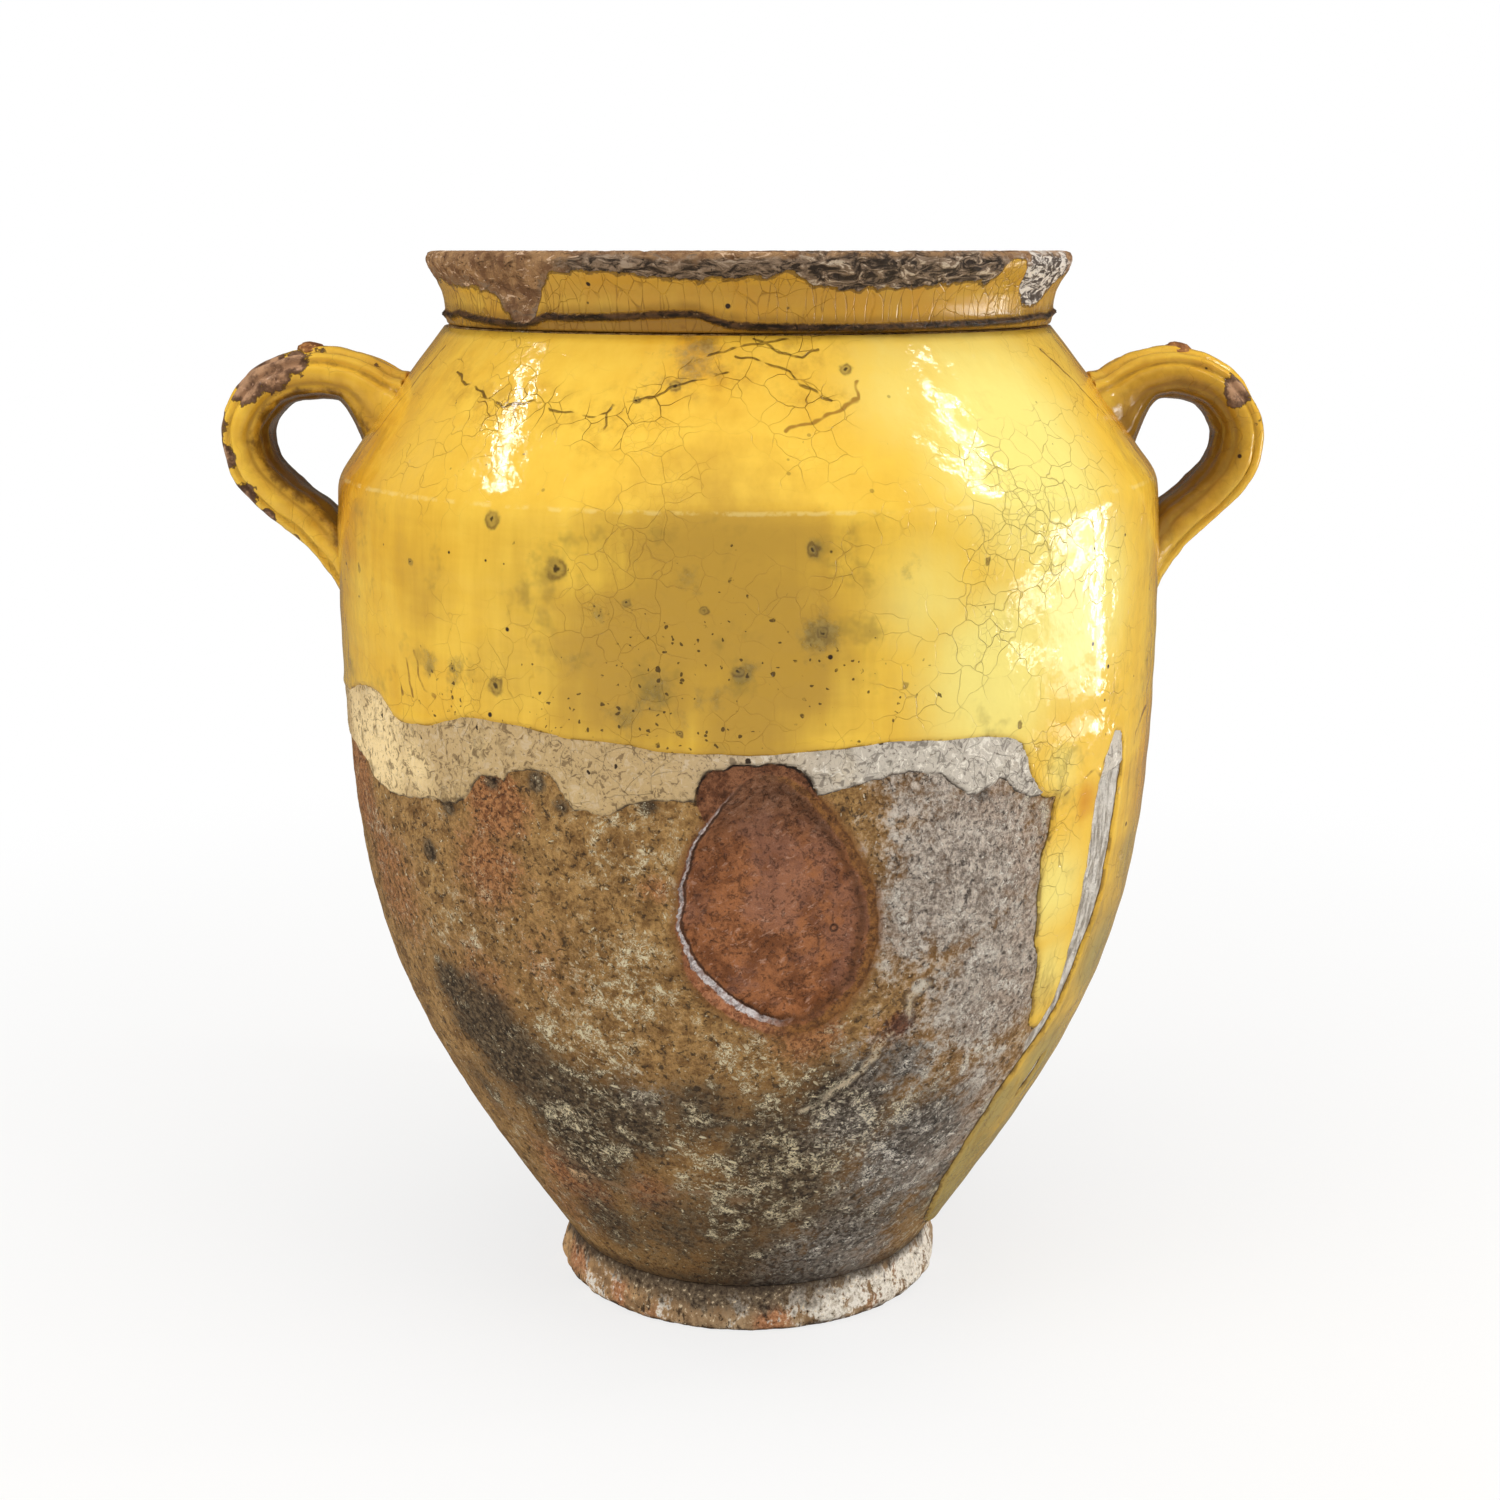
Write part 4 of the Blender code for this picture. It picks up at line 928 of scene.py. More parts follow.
lining_form = thrown(even_profile(LINING_LINE, 90), front=LINING_STEPS, back=LINING_STEPS)
around, radius, height = round_places(lining_form)
ripple = 0.12 * np.sin(height / 3.3 + around) * eased(radius, 30, 60)
move_to(lining_form, on_wall(around, np.maximum(radius + ripple - 0.15, 0), height))
bmesh.ops.recalc_face_normals(lining_form, faces=lining_form.faces)
if sum(face.normal.dot(face.calc_center_median() - BOWL_MIDDLE) for face in lining_form.faces) > 0:
    bmesh.ops.reverse_faces(lining_form, faces=lining_form.faces)
bmesh.ops.solidify(lining_form, geom=list(lining_form.faces), thickness=LINING_THICKNESS)
lining = to_piece("glaze_lining", lining_form)

shader, place = new_finish("lining_lead_glaze", lining)
cloud = place.noise(20, 4, 0.6)
tone = cloud.rise(0.3, 0.7).mix("a8752a", "c4913c")
streaks = place.stretched(1.0, 1.0, 0.1).noise(120, 3, 0.6)
tone = streaks.rise(0.5, 0.75).mix(tone, "85561f")
craze, holes = glaze_flaws(place, 1.2)
tone = (craze * 0.8).mix(tone, "59391b")
tone = holes.mix(tone, "33251a")
floor_share = place.along("Z").rise(0.11, 0.02)
tone = (floor_share * cloud.rise(0.35, 0.6) * 0.7).mix(tone, "6b4a22")
skin = cloud * 0.5 + streaks * 0.2 - craze * 0.4 - holes * 0.6
lay_on(shader, base_color=tone, roughness=0.2 + cloud * 0.15, normal=skin.relief(0.0006))
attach(lining, "root")
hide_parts("inner_glaze")

# The rim collar: a strip of clay folded over and pressed on the neck. Its folded lip stands out as a
# dark bead that steps down near the front. The top was wiped bare and is chipped and crusted.

COLLAR_FOOT = 336.3
COLLAR_TOP = 359.97
COLLAR_LIMIT = 109.6
# Level of the folded lip, and the level above which the rim is bare: angle, height
LIP_LEVEL = [
    (-180, 340.2), (-150, 339.2), (-120, 340.6), (-100, 340), (-84, 339.2), (-75, 340.2), (-70, 339.4),
    (-64, 340.6), (-58, 339.4), (-52, 338.7), (-47.7, 338.2), (-42, 338), (-38.5, 339.4), (-36.6, 340.6),
    (-32, 340.3), (-25.4, 340.6), (-20, 340.9), (-16.4, 341.4), (-11, 341.8), (-8, 341.5), (-5.6, 340),
    (-3.4, 338.8), (0, 338.2), (8, 337.9), (18.6, 337.7), (30, 338), (38.3, 338.2), (56, 338.8),
    (66, 339.6), (70, 339), (76, 340.4), (90, 339.6), (110, 340.6), (130, 339.4), (150, 338.8), (180, 340.2),
]
BARE_ABOVE = [
    (-180, 352), (-165, 354.5), (-150, 352), (-138, 349), (-120, 350), (-108, 353), (-96, 351),
    (-84, 349.4), (-76, 350.6), (-70, 351), (-66, 349.6), (-60, 349.2), (-55, 348.8), (-50.5, 347.6),
    (-48.4, 345), (-46.8, 341.5), (-44.5, 338.6), (-40.5, 338.2), (-39, 341), (-38, 345), (-36.8, 348.6),
    (-35, 352), (-33.2, 354), (-30, 353.6), (-27.1, 354.8), (-24, 354), (-20.2, 353.8), (-17, 352.6),
    (-12, 352), (-9, 351.6), (-4, 352.2), (-1.3, 351.9), (3, 353), (6.3, 353.8), (8.5, 352.4),
    (10.4, 350.1), (12.9, 349.2), (18, 348.4), (21, 349.2), (24.8, 349.4), (32.2, 350), (38, 350.8),
    (43, 350.4), (45.4, 351.4), (46.2, 354.6), (47.2, 357.4), (50, 358.6), (52, 357.2), (53.4, 353),
    (54.4, 347.6), (56.6, 344.6), (60, 342.4), (63.4, 343.2), (67, 347.4), (72, 351.6), (80, 353.6),
    (95, 351), (104, 353), (118, 355), (126, 352), (140, 350), (152, 351), (166, 354), (180, 352),
]
COLLAR_LINE = [
    (100.5, 336.3), (101.5, 336.5), (101.9, 338), (102.1, 341), (102.4, 344), (103.1, 347), (104.6, 350),
    (106.4, 352.6), (107.7, 354.6), (108.35, 356.4), (108.4, 357.8), (107.7, 359.1), (106.4, 359.75),
    (104, 359.95), (101, 359.9), (99, 359.6), (97.6, 358.6), (96.6, 356.8), (95, 353.2), (93.4, 348.6),
    (92.2, 344.6), (91.7, 340), (91.5, 336.3), (96, 336.3), (100.5, 336.3),
]
# The outer face has more points than the rest, for the bead and the flaking crust
collar_ring = even_profile(COLLAR_LINE, 42, dense_until=34, dense_count=46)
collar = thrown(collar_ring, front=380, back=240)
around, radius, height = round_places(collar)
angle = np.degrees(around)
bead_level = np.interp(angle, *np.array(LIP_LEVEL).T)
bare_level = np.interp(angle, *np.array(BARE_ABOVE).T)
spots = on_wall(around, radius, height)
ragged = grain(spots, 4) * 1.2 + grain(spots + 50, 1.8, 2) * 0.5
mouth_side = radius < 99.5 + (height - 356) * 0.3
bare_in = np.where(mouth_side, height - 351 + ragged, height - bare_level + ragged)
bare_in = np.where(height > 358, np.maximum(bare_in, 1.0), bare_in)
under = eased(height, COLLAR_FOOT, 337.2)
bead = 1.8 * np.exp(-(((height - bead_level + grain(spots, 9) * 0.5) / 0.85) ** 2))
bead = np.where(mouth_side, 0, bead * (0.8 + 0.35 * grain(spots + 20, 6)))
crust = eased(bare_in, -0.2, 0.8)
heavy = eased(angle, 4, 12) * eased(angle, 48, 43) + eased(angle, 53, 55) * eased(angle, 76, 70)
heavy = heavy + 0.4 * eased(angle, -34, -24) * eased(angle, 10, 2)
flaking = np.abs(grain(spots + 11, 3.2, 4)) * 1.1 - 0.35
chips = eased(grain(spots + 77, 7, 2), 0.28, 0.6) * eased(height, 353, 357)
relief = crust * (flaking * (0.25 + 0.75 * heavy) + 0.35 * heavy - 0.35) - chips * 0.9
relief = np.where(mouth_side, np.minimum(relief, 0.3), relief)
out = np.where(height > 359, 0, 1.0)
radius_now = radius + out * (relief + bead * under) * np.where(mouth_side, -1, 1)
radius_now += 0.35 * np.sin(2 * around + 1) + 0.15 * np.sin(5 * around) - 0.35
drop = eased(height, 356.5, 359) * (np.abs(grain(spots + 31, 6, 3)) * 0.9 + chips * 0.7)
height_now = np.clip(height - drop, COLLAR_FOOT, COLLAR_TOP)
move_to(collar, on_wall(around, np.minimum(radius_now, COLLAR_LIMIT), height_now))
note(collar, "bare_in", bare_in)
note(collar, "bead_gap", np.where(mouth_side, 9, height - bead_level))
note(collar, "heavy", heavy)
rim_collar = to_piece("rim_collar_band", collar)

shader, place = new_finish("collar_glaze_and_bare_rim", rim_collar)
bare, bead_gap, heavy = place.kept("bare_in"), place.kept("bead_gap"), place.kept("heavy")
mottle = place.noise(170, 4, 0.65)
fine = place.noise(700, 3, 0.65)
flaky = place.stretched(0.45, 0.45, 1.2).shaken(200, 0.003).noise(380, 4, 0.65, 1.2)
# The collar's glaze is dull and darker, partly its own cloudy tone and partly painted shade, as its hollow
# face looks a little down
tone, soft = glaze_tone(place, 0.55, 0.0, 0.85)
up_lines = place.stretched(1.0, 1.0, 0.15).shaken(90, 0.004).cells(260, "DISTANCE_TO_EDGE").rise(0.05, 0.0)
craze, holes = glaze_flaws(place, 1.0)
tone = (up_lines * mottle.rise(0.4, 0.6) * 0.5).mix(tone, "6a4417")
tone = (craze * 0.7).mix(tone, "6a4417")
tone = holes.mix(tone, "33251a")
shade = bead_gap + mottle.sway(3)
tone = (shade.rise(4.5, 1.2) * 0.6).mix(tone, "7a5422")
bead_mask = (bead_gap + fine.sway(1.2)).size().rise(1.5, 0.7)
bead_tone = flaky.rise(0.4, 0.62).mix("20140c", "573b20")
bead_tone = fine.rise(0.62, 0.7).mix(bead_tone, "7d6240")
tone = bead_mask.mix(tone, bead_tone)
pink = mottle.rise(0.35, 0.62).mix("6f4c30", "a27c53")
pink = flaky.rise(0.56, 0.68).mix(pink, "54381f")
pink = flaky.rise(0.42, 0.34).mix(pink, "c9a888")
height_at = place.along("Z")
black = flaky.rise(0.42, 0.58).mix("33281f", "866f59")
black = (flaky.rise(0.56, 0.64) * heavy).mix(black, "c2af97")
scaly = place.along("X").rise(0.079, 0.085)
black = scaly.mix(black, flaky.rise(0.44, 0.56).mix("544840", "ded3c6"))
low_edge = (bare + mottle.sway(3)).rise(7.0, 2.5)
burnt = (heavy * 1.2 + low_edge * 0.5 + mottle.sway(1.3) + flaky.sway(0.8)).rise(0.35, 0.8)
bare_tone = burnt.mix(pink, black)
top = height_at.rise(0.3572, 0.3592)
bare_tone = (top * mottle.rise(0.35, 0.6) * 0.8).mix(bare_tone, pink)
bare_tone = fine.rise(0.36, 0.3).mix(bare_tone, "30241b")
bare_mask = (bare + fine.sway(1.4)).rise(-0.1, 0.3)
line_mask = (bare + fine.sway(1.4) + 0.35).size().rise(0.6, 0.2)
tone = bare_mask.mix(tone, bare_tone)
tone = (line_mask * 0.6).mix(tone, "3d2a18")
skin = (flaky * 0.9 + fine * 0.3) * bare_mask.most(bead_mask * 0.5) + soft * 0.25 - craze * 0.3
lay_on(
    shader, base_color=tone, roughness=0.16 + bare_mask * 0.6 + bead_mask * 0.25 + mottle * 0.08,
    normal=(skin - up_lines * 0.15).relief(0.0009))
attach(rim_collar, "root")
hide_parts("rim_collar")

# The foot: a coil of clay pressed round the base by hand and flared a little, so it is lumpy. It is bare,
# scorched orange in places and rubbed pale where it has been dragged over stone.

FOOT_LINE = [
    (58.9, 13.7), (65.3, 15.7), (65.9, 13.6), (66.5, 10.8), (67.4, 8), (68.3, 5.4), (68.6, 3.6),
    (68.3, 1.7), (67.4, 0.4), (66.2, 0), (62, 0), (59.4, 0.1), (58.9, 0.8), (58.9, 13.7),
]
foot = thrown(even_profile(FOOT_LINE, 46), front=260, back=160)
around, radius, height = round_places(foot)
spots = on_wall(around, radius, height)
thumbed = 0.55 * np.sin(17 * around + 1.2 * np.sin(3 * around)) * eased(height, 1, 5) * eased(height, 15, 11)
lumps = grain(spots, 9) * 0.6 + grain(spots + 60, 3) * 0.35
outer = eased(radius, 61, 64)
raised = outer * eased(height, 13, 15.5) * lumps * 0.3
move_to(foot, on_wall(around, radius + outer * (thumbed + lumps - 0.2), np.maximum(height + raised, 0)))

# Where stone has rubbed it pale and fire has scorched it: angle, height, size, strength
PALE = [
    (24, 6, 9, 1.0), (34, 10, 8, 0.9), (44, 6, 9, 0.9), (58, 8, 12, 1.0), (14, 9, 6, 0.7), (-50, 7, 9, 0.5),
    (-26, 6, 7, 0.4), (74, 8, 14, 0.9), (-160, 6, 16, 0.7), (130, 8, 12, 0.6), (-2, 8, 5, 0.4),
]
SCORCHED = [
    (7, 4, 7, 1.0), (-66, 8, 12, 0.8), (-42, 5, 9, 0.7), (40, 3, 7, 0.7), (-100, 6, 18, 0.7),
    (160, 5, 20, 0.8), (-30, 3, 7, 0.6), (50, 12, 6, 0.5),
]
note_zones(foot, around, height, pale=PALE, scorched=SCORCHED)
foot_coil = to_piece("foot_coil", foot)

shader, place = new_finish("rubbed_foot_clay", foot_coil)
pale, scorched = place.kept("pale"), place.kept("scorched")
mottle = place.noise(150, 4, 0.65)
fine = place.noise(620, 3, 0.7)
upright = place.stretched(1.0, 1.0, 0.35).noise(420, 3, 0.6)
height_at = place.along("Z")
across = place.along("X")
warm = (mottle * 0.6 + upright * 0.4).rise(0.38, 0.6)
tone = warm.mix("8c6d4b", across.rise(-0.01, -0.05).mix("c0a27c", "e0b27a"))
tone = (scorched + mottle.sway(1.4)).rise(0.3, 0.75).mix(tone, fine.rise(0.35, 0.6).mix("94603b", "c98f64"))
worn = pale + mottle.sway(2.2) + upright.sway(1.4) + (fine - 0.5)
tone = worn.rise(0.3, 0.6).mix(tone, fine.rise(0.35, 0.6).mix("c2b39d", "f8f0e3"))
tone = (upright - pale * 0.1).rise(0.56, 0.66).mix(tone, "54402c")
sides = across.rise(0.015, 0.045).most(across.rise(-0.02, -0.055) * 0.7)
sooty = (height_at * 85 + mottle.sway(1.2) + upright.sway(0.8) - sides * 0.55).rise(0.4, 0.8)
tone = (sooty * (1 - pale * 0.4) * 0.92).mix(tone, fine.rise(0.36, 0.62).mix("352b22", "7c6b55"))
tone = (height_at + mottle.sway(0.008)).rise(0.0022, 0.0).mix(tone, "4a382a")
tone = fine.rise(0.6, 0.68).mix(tone, "dcc7a4")
tone = fine.rise(0.38, 0.32).mix(tone, "3c2c20")
# Dirt and painted shade along the top of the coil, where it meets the wall
tone = ((height_at + mottle.sway(0.004)).rise(0.0115, 0.0155) * 0.6).mix(tone, "3d3025")
skin = mottle * 0.6 + upright * 0.6 + fine * 0.35
lay_on(shader, base_color=tone, roughness=0.7 + mottle * 0.2, normal=skin.relief(0.0011))
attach(foot_coil, "root")
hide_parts("foot_ring")

# The handles: straps pulled from a lump of wet clay, which left ribs along them, bent over and pressed on
# the shoulder and the wall. The glaze is worn through to brown clay on their crowns and outer edges.

# Centre line in its own upright plane: out from the axis, height, share of width, share of thickness
STRAP_ROUTE = [
    (108, 299, 1.62, 1.5), (118, 308.5, 1.4, 1.35), (130.2, 316.6, 1.12, 1.22), (147, 319.6, 1.0, 1.2),
    (162.5, 314.6, 1.0, 1.16), (171.9, 301.2, 1.0, 1.14), (169.8, 288.6, 1.0, 1.14),
    (160.4, 278.2, 1.0, 1.12), (149.6, 269.6, 1.06, 1.1), (141.6, 260.2, 1.16, 1.0),
    (136.2, 249.5, 1.1, 0.85), (133.6, 238, 0.8, 0.6),
]
STRAP_HALF_WIDTH = 15.0
STRAP_HALF_DEPTH = 7.3
RIB_DEPTH = 1.3
RIB_COUNT = 9
STRAP_AROUND = 96
STRAP_RINGS = 210
# How much nearer to the wall than the route each handle's bow stands
LEFT_SHIFT = -1.3
RIGHT_SHIFT = -5.6
# How much wider a root is than its strap, and how closely it bends round the wall
ROOT_SPREAD = 0.24
ROOT_BEND = 1.1
WEB_DROP = 15
# Clearance from the ends of the CAD handle's box
BOX_GAP = 0.05


def smooth_route(route, count):
    """Even points along a smooth line through a route's points, with its other values."""
    knots = np.array(route, float)
    span = lengths_along(knots)
    even = np.linspace(0, span[-1], count)
    slopes = np.gradient(knots, span, axis=0)
    cell = np.clip(np.searchsorted(span, even, side="right") - 1, 0, len(span) - 2)
    width = (span[cell + 1] - span[cell])[:, None]
    t = (even - span[cell])[:, None] / width
    a, b = knots[cell], knots[cell + 1]
    return (
        (2 * t**3 - 3 * t**2 + 1) * a + (t**3 - 2 * t**2 + t) * width * slopes[cell]
        + (3 * t**2 - 2 * t**3) * b + (t**3 - t**2) * width * slopes[cell + 1]
    )


def pulled_strap(shift):
    """The strap on the right: a ribbed ring drawn along the centre line, with its caps inside the wall."""
    route = smooth_route(STRAP_ROUTE, STRAP_RINGS)
    reach = np.clip((route[:, 0] - 125) / 45, 0, 1)
    route[:, 0] += shift * reach
    run = np.gradient(route[:, :2], axis=0)
    run /= np.hypot(run[:, 0], run[:, 1])[:, None]
    form = bmesh.new()
    outward = form.verts.layers.float.new("outward")
    furrow = form.verts.layers.float.new("furrow")
    made = bmesh.ops.create_circle(form, segments=STRAP_AROUND, radius=1.0)["verts"]
    for vert in made:
        turn = math.atan2(vert.co.y, vert.co.x)
        across, out = math.cos(turn), math.sin(turn)
        across = math.copysign(abs(across) ** 0.85, across)
        out = math.copysign(abs(out) ** 0.8, out)
        groove = (0.5 + 0.5 * math.cos(RIB_COUNT * turn + 0.6)) ** 2
        ribbed = 1 - RIB_DEPTH / STRAP_HALF_DEPTH * groove * (0.35 + 0.65 * max(out, 0) ** 0.5)
        vert.co = (across * ribbed, out * ribbed, 0)
        vert[outward] = out
        vert[furrow] = groove
    before = Matrix.Identity(4)
    edges = list(form.edges)
    verts = made
    for index, ((x, z, wide, deep), (run_x, run_z)) in enumerate(zip(route, run)):
        stand = Matrix((
            (0, -run_z * STRAP_HALF_DEPTH * deep, run_x, x),
            (STRAP_HALF_WIDTH * wide, 0, 0, 0),
            (0, run_x * STRAP_HALF_DEPTH * deep, run_z, z),
            (0, 0, 0, 1),
        ))
        if index:
            new = bmesh.ops.extrude_edge_only(form, edges=edges)["geom"]
            verts = [e for e in new if isinstance(e, bmesh.types.BMVert)]
            edges = [e for e in new if isinstance(e, bmesh.types.BMEdge)]
        bmesh.ops.transform(form, matrix=stand @ before.inverted(), verts=verts)
        before = stand
    bmesh.ops.holes_fill(form, edges=form.edges, sides=STRAP_AROUND)
    bmesh.ops.recalc_face_normals(form, faces=form.faces)
    return form


def finish_strap(form, shares, seed):
    """Wobbles a strap as a hand leaves it, and spreads its two roots on to the wall like a fillet."""
    spots = np.array([vert.co for vert in form.verts])
    radius, height = round_places(form)[1:]
    wall = wall_radius(np.clip(height, WALL_FOOT + 1, WALL_TOP - 1))
    gap = radius - wall
    spread = eased(gap, 9, -1)
    spots[:, 1] *= 1 + ROOT_SPREAD * spread**2
    spots[:, 0] -= spots[:, 1] ** 2 / (2 * wall) * spread * ROOT_BEND
    middle = np.interp(height, [238, 262, 300, 336], [250, 266, 306, 312])
    spots[:, 2] += np.where(height > 290, 1, -0.6) * (height - middle) * 0.22 * spread**2 * (height > 255)
    web = eased(gap, 19, 2) * eased(height, 290, 298) * np.clip(-shares, 0, 1)
    spots[:, 2] -= WEB_DROP * web
    wobble = grain(spots + seed, 16) * 0.7 + grain(spots + seed, 5) * 0.22
    normals = np.array([vert.normal for vert in form.verts])
    spots += normals * wobble[:, None]
    return spots


def paint_handle(name, piece, mirrored):
    """Amber glaze, browner inside the bow, partly as painted shade there, and in the furrows, with the clay
    bare where hands wore it.
    """
    shader, place = new_finish(name, piece)
    outward, bare = place.kept("outward"), place.kept("bare")
    mottle = place.noise(150, 4, 0.65)
    fine = place.noise(650, 3, 0.65)
    tone, soft = glaze_tone(place, 0.1 if mirrored else 0.45, 0.0, 0.3)
    # Inside the bow the glaze is browner, and darker still as painted shade
    inner_glaze_and_shade = (outward + mottle.sway(1.2) + soft * 0.8).rise(0.2 if mirrored else 1.1, -0.9)
    tone = (inner_glaze_and_shade * 0.8).mix(tone, tint("94671f" if mirrored else "7f581c"))
    tone = (inner_glaze_and_shade.rise(0.6, 1.0) * (0.85 if mirrored else 0.35)).mix(tone, "61421a")
    furrow = place.kept("furrow")
    tone = ((furrow + mottle.sway(1.5)).rise(0.6, 1.2) * 0.5).mix(tone, "764b16")
    craze, holes = glaze_flaws(place, 0.8)
    tone = (craze * 0.7).mix(tone, "6a4417")
    tone = holes.mix(tone, "3a2716")
    worn = bare + mottle.sway(1.1) + fine.sway(0.35)
    bare_clay = mottle.rise(0.35, 0.6).mix("5d3f2c", "b08764")
    bare_clay = fine.rise(0.6, 0.7).mix(bare_clay, "c39a7c")
    bare_clay = (worn.rise(0.85, 0.6) * 0.75).mix(bare_clay, "4d3322")
    mask = worn.rise(0.5, 0.54)
    tone = ((worn - 0.5).size().rise(0.07, 0.02) * 0.8).mix(mask.mix(tone, bare_clay), "4a2f1c")
    skin = soft * 0.3 + mottle * 0.15 - craze * 0.3 - mask * 0.5 + mask * fine * 0.5
    lay_on(
        shader, base_color=tone, roughness=0.14 + mask * 0.55 + mottle * 0.08,
        normal=skin.relief(0.0007), coat_weight=0.2, coat_roughness=0.06)


# Bare patches: x and height on the handle's own plane, depth towards the front, size, strength
LEFT_WEAR = [
    (-160, 322, -12, 7, 1.2), (-168, 317, -12, 6.4, 1.2), (-152, 324, -11, 5, 1.0),
    (-179, 303, -7, 4.4, 1.0), (-177, 292, -9, 5, 1.0), (-171, 279, -11, 5, 1.0),
    (-163, 272, -13, 3, 0.95), (-144, 326, -2, 4, 0.6), (-154, 264, -10, 2.4, 0.9),
    (-126, 321, -4, 2.4, 0.7), (-168, 318, 8, 8, 0.9), (-176, 290, 9, 5, 0.8),
]
RIGHT_WEAR = [
    (163, 314, -13, 5.0, 1.0), (171, 304, -8, 2.6, 0.75), (168, 314, 8, 6, 0.9), (172, 286, 6, 4, 0.8),
    (158, 325, 6, 4, 0.6),
]

for side, name, shift, wear, seed in (
    (-1, "left_handle", LEFT_SHIFT, LEFT_WEAR, 0), (1, "right_handle", RIGHT_SHIFT, RIGHT_WEAR, 500),
):
    strap = pulled_strap(shift)
    outward = strap.verts.layers.float["outward"]
    shares = np.array([vert[outward] for vert in strap.verts])
    spots = finish_strap(strap, shares, seed)
    spots[:, 0] *= side
    low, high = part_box(name)
    spots[:, 0] = np.clip(spots[:, 0], low.x * 1000 + BOX_GAP, high.x * 1000 - BOX_GAP)
    move_to(strap, spots)
    if side < 0:
        bmesh.ops.reverse_faces(strap, faces=strap.faces)
    worn = np.zeros(len(spots))
    for x, z, y, size, strength in wear:
        gap = np.hypot(np.hypot(spots[:, 0] - x, spots[:, 2] - z), (spots[:, 1] - y) * 0.6)
        worn = np.maximum(worn, strength * np.exp(-((gap / size) ** 2) * 0.7))
    note(strap, "bare", worn)
    handle = to_piece(f"{name}_strap", strap)
    paint_handle(f"{name}_glaze", handle, side < 0)
    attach(handle, "root")
    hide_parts(name)

# The buttons: dabs of brown clay thumbed on to the top of each handle while it was soft. They have no
# glaze of their own, only a dull shine.

# Half its length, width and height
DAB_SIZE = np.array([5.2, 5.6, 2.8])
DAB_SUNK = 0.9

for name in ("left_handle_button", "right_handle_button"):
    low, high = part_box(name)
    middle = (low + high) * 500
    dab = bmesh.new()
    bmesh.ops.create_icosphere(dab, subdivisions=4, radius=1.0)
    spots = np.array([vert.co for vert in dab.verts])
    spots *= 1 + 0.16 * grain(spots, 0.8)[:, None]
    spots[:, 2] = np.where(spots[:, 2] > 0, spots[:, 2] * (1 - 0.12 * spots[:, 0]), spots[:, 2])
    spots = spots * DAB_SIZE + np.array([middle.x, middle.y, middle.z - DAB_SUNK])
    spots[:, 2] = np.minimum(spots[:, 2], high.z * 1000)
    move_to(dab, spots)
    button = to_piece(f"{name}_dab", dab)
    shader, place = new_finish(f"{name}_brown_clay", button)
    mottle = place.noise(260, 4, 0.6)
    tone = mottle.rise(0.35, 0.65).mix("6b3c1c", "a8713c")
    tone = place.noise(700, 2).rise(0.58, 0.7).mix(tone, "c99452")
    lay_on(shader, base_color=tone, roughness=0.25 + mottle * 0.25, normal=mottle.relief(0.0006))
    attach(button, "root")
    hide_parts(name)

# The studio: a pale floor that keeps the shadow, soft even light, and tall windows at both sides whose
# reflections lie on the glaze.

floor_form = bmesh.new()
bmesh.ops.create_grid(floor_form, x_segments=1, y_segments=1, size=6.0)
floor_mesh = bpy.data.meshes.new("studio_floor")
floor_form.to_mesh(floor_mesh)
floor_form.free()
studio_floor = set_out("studio_floor", floor_mesh)
shader, place = new_finish("pale_floor", studio_floor)
lay_on(shader, base_color=tint("eceae6"), roughness=0.9)
seen = place.node("LightPath", None, None, "Is Camera Ray")
mirrored_ray = place.node("LightPath", None, None, "Is Glossy Ray")
white = place.node("Emission", None, {"Color": (1, 1, 1, 1), "Strength": 1.0})
distance = place.vectors("LENGTH", place, None, 1)
share = seen * (distance.rise(0.22, 0.8) * 0.25 + 0.75)
body_shader = Paint(place.tree, shader.outputs[0])
mixed = place.node("MixShader", None, {0: share, 1: body_shader, 2: white})
dim = place.node("Emission", None, {"Color": tint("5e5240"), "Strength": 1.0})
mixed = place.node("MixShader", None, {0: mirrored_ray * 0.8, 1: mixed, 2: dim})
place.tree.links.new(mixed.socket, place.tree.nodes["Material Output"].inputs["Surface"])

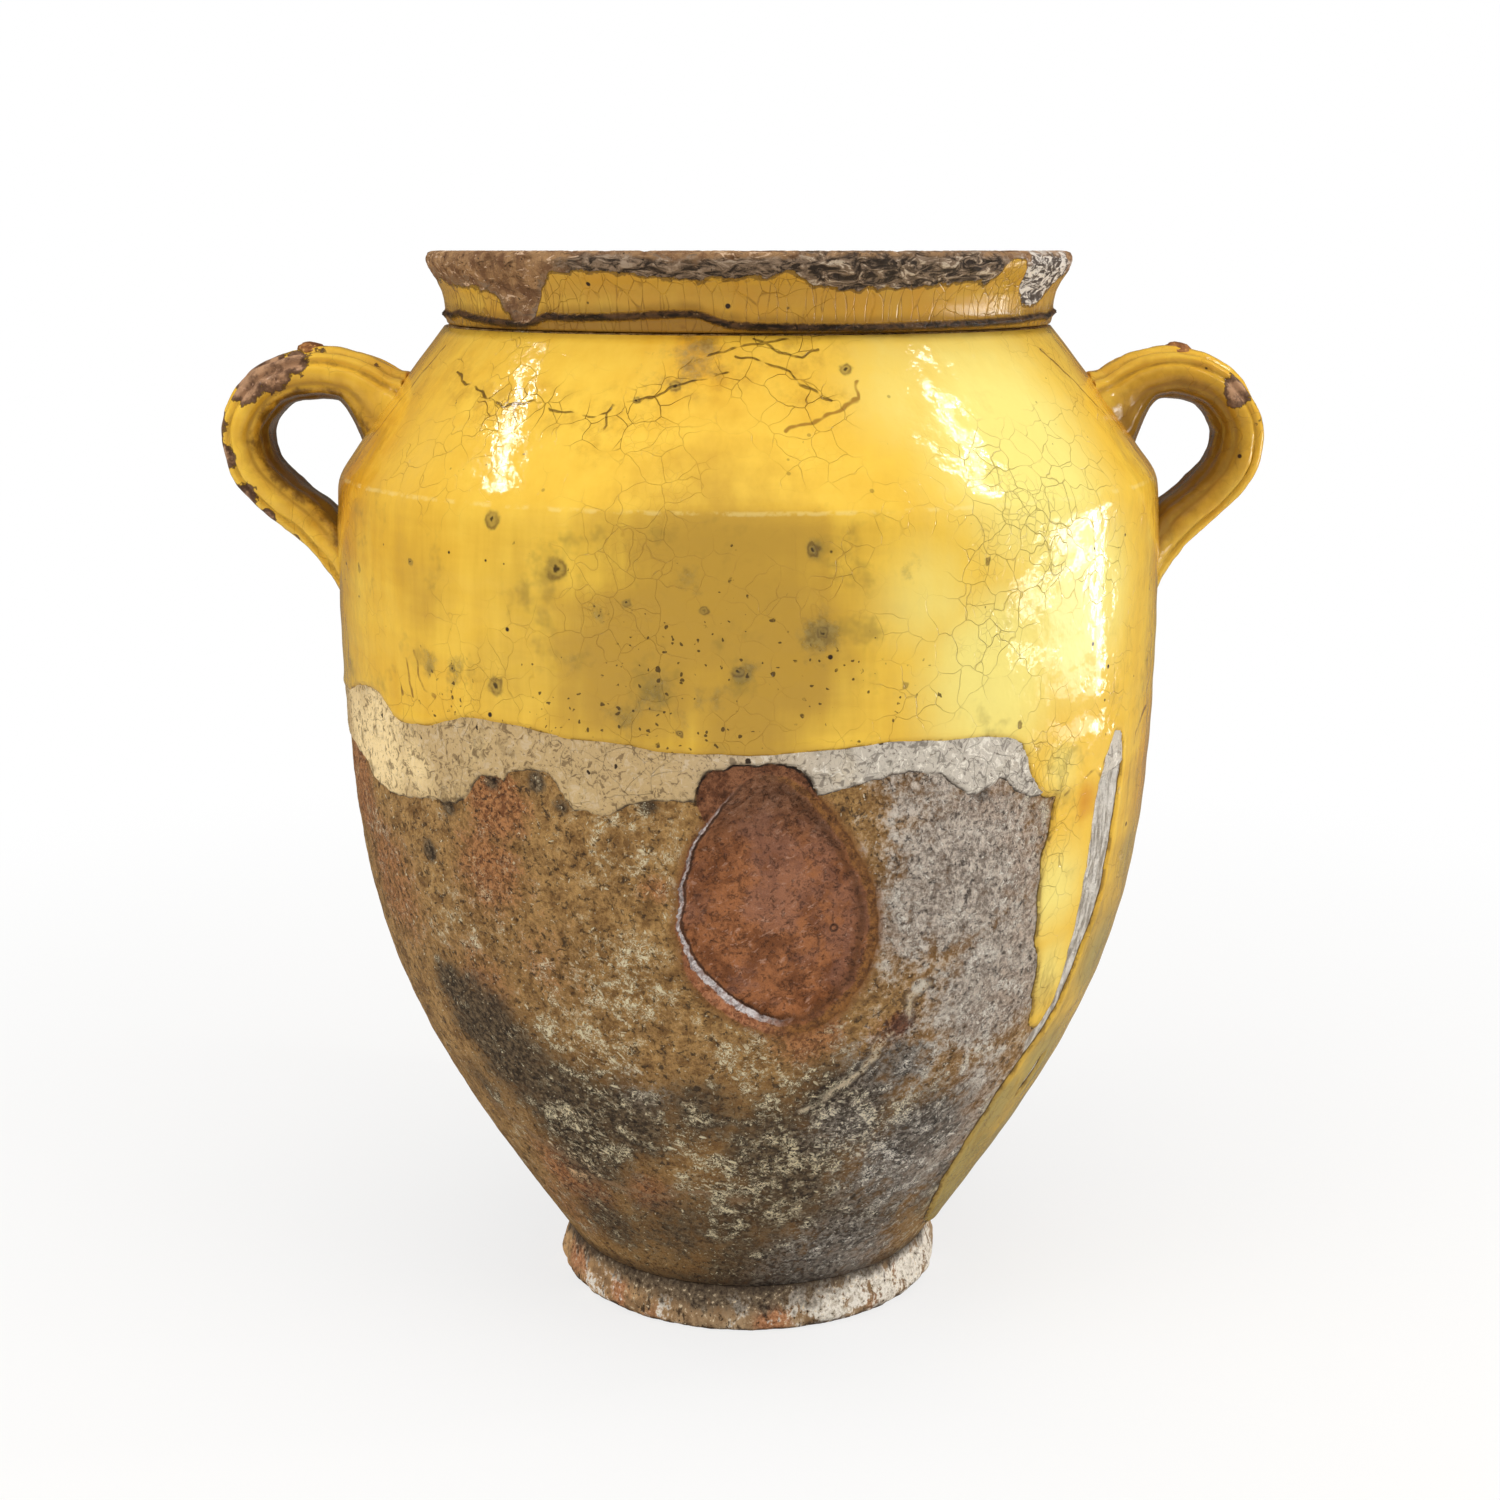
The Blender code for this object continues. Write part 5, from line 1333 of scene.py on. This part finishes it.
world = bpy.data.worlds.new("studio_air")
bpy.context.scene.world = world
world.use_nodes = True
sky = world.node_tree.nodes["Background"]
air = Paint(world.node_tree, sky.outputs[0])
seen = air.node("LightPath", None, None, "Is Camera Ray")
mirrored_ray = air.node("LightPath", None, None, "Is Glossy Ray")
through = air.node("LightPath", None, None, "Is Transmission Ray")
level = mirrored_ray.mix((0.36, 0.36, 0.36, 1.0), (0.13, 0.11, 0.09, 1.0))
level = seen.most(through).mix(level, (1.0, 1.0, 1.0, 1.0))
world.node_tree.links.new(level.socket, sky.inputs["Color"])


def add_window(name, spot, aim, width, tall, power, glossy, roll=0.0):
    """A flat soft lamp facing a point, turned about its own axis by so many degrees."""
    lamp = bpy.data.lights.new(name, "AREA")
    lamp.shape = "RECTANGLE"
    lamp.size = width
    lamp.size_y = tall
    lamp.energy = power
    facing = (Vector(aim) - Vector(spot)).to_track_quat("-Z", "Y").to_matrix()
    holder = set_out(name, lamp)
    holder.location = spot
    holder.rotation_euler = (facing @ Matrix.Rotation(math.radians(roll), 3, "Z")).to_euler()
    holder.visible_glossy = glossy


add_window("top_fill", (0.0, -0.3, 1.8), (0, 0, 0.3), 1.5, 1.5, 17, False)
add_window("left_fill", (-1.5, -0.9, 0.9), (0, 0, 0.2), 1.0, 1.2, 15, False)
add_window("right_fill", (1.5, -0.9, 0.9), (0, 0, 0.2), 1.0, 1.2, 12, False)
add_window("left_pane", (-0.78, 0.03, 1.0), (-0.075, -0.11, 0.31), 0.26, 0.022, 0.6, True)
add_window("right_pane", (0.705, -0.08, 1.075), (0.065, -0.11, 0.32), 0.035, 0.17, 0.45, True)
add_window("right_bulb", (0.80, -0.105, 0.98), (0.07, -0.11, 0.3), 0.045, 0.045, 0.5, True)
add_window("right_sill", (1.028, 0.02, 0.215), (0.08, -0.11, 0.25), 0.72, 0.045, 0.9, True, 17)
add_window("right_jamb", (1.035, 0.25, 0.16), (0.08, -0.11, 0.25), 0.05, 0.28, 0.6, True, 12)
add_window("right_sky", (1.06, 0.06, 0.15), (0.08, -0.11, 0.25), 0.4, 0.26, 0.8, True)

camera = bpy.data.cameras.new("camera")
camera.lens = 52.8
camera.sensor_width = 36
holder = set_out("camera", camera)
holder.location = (0.0005, -0.756, 0.360)
holder.rotation_euler = (math.radians(77.2), 0, 0)
bpy.context.scene.camera = holder
bpy.context.scene.view_settings.view_transform = "Standard"
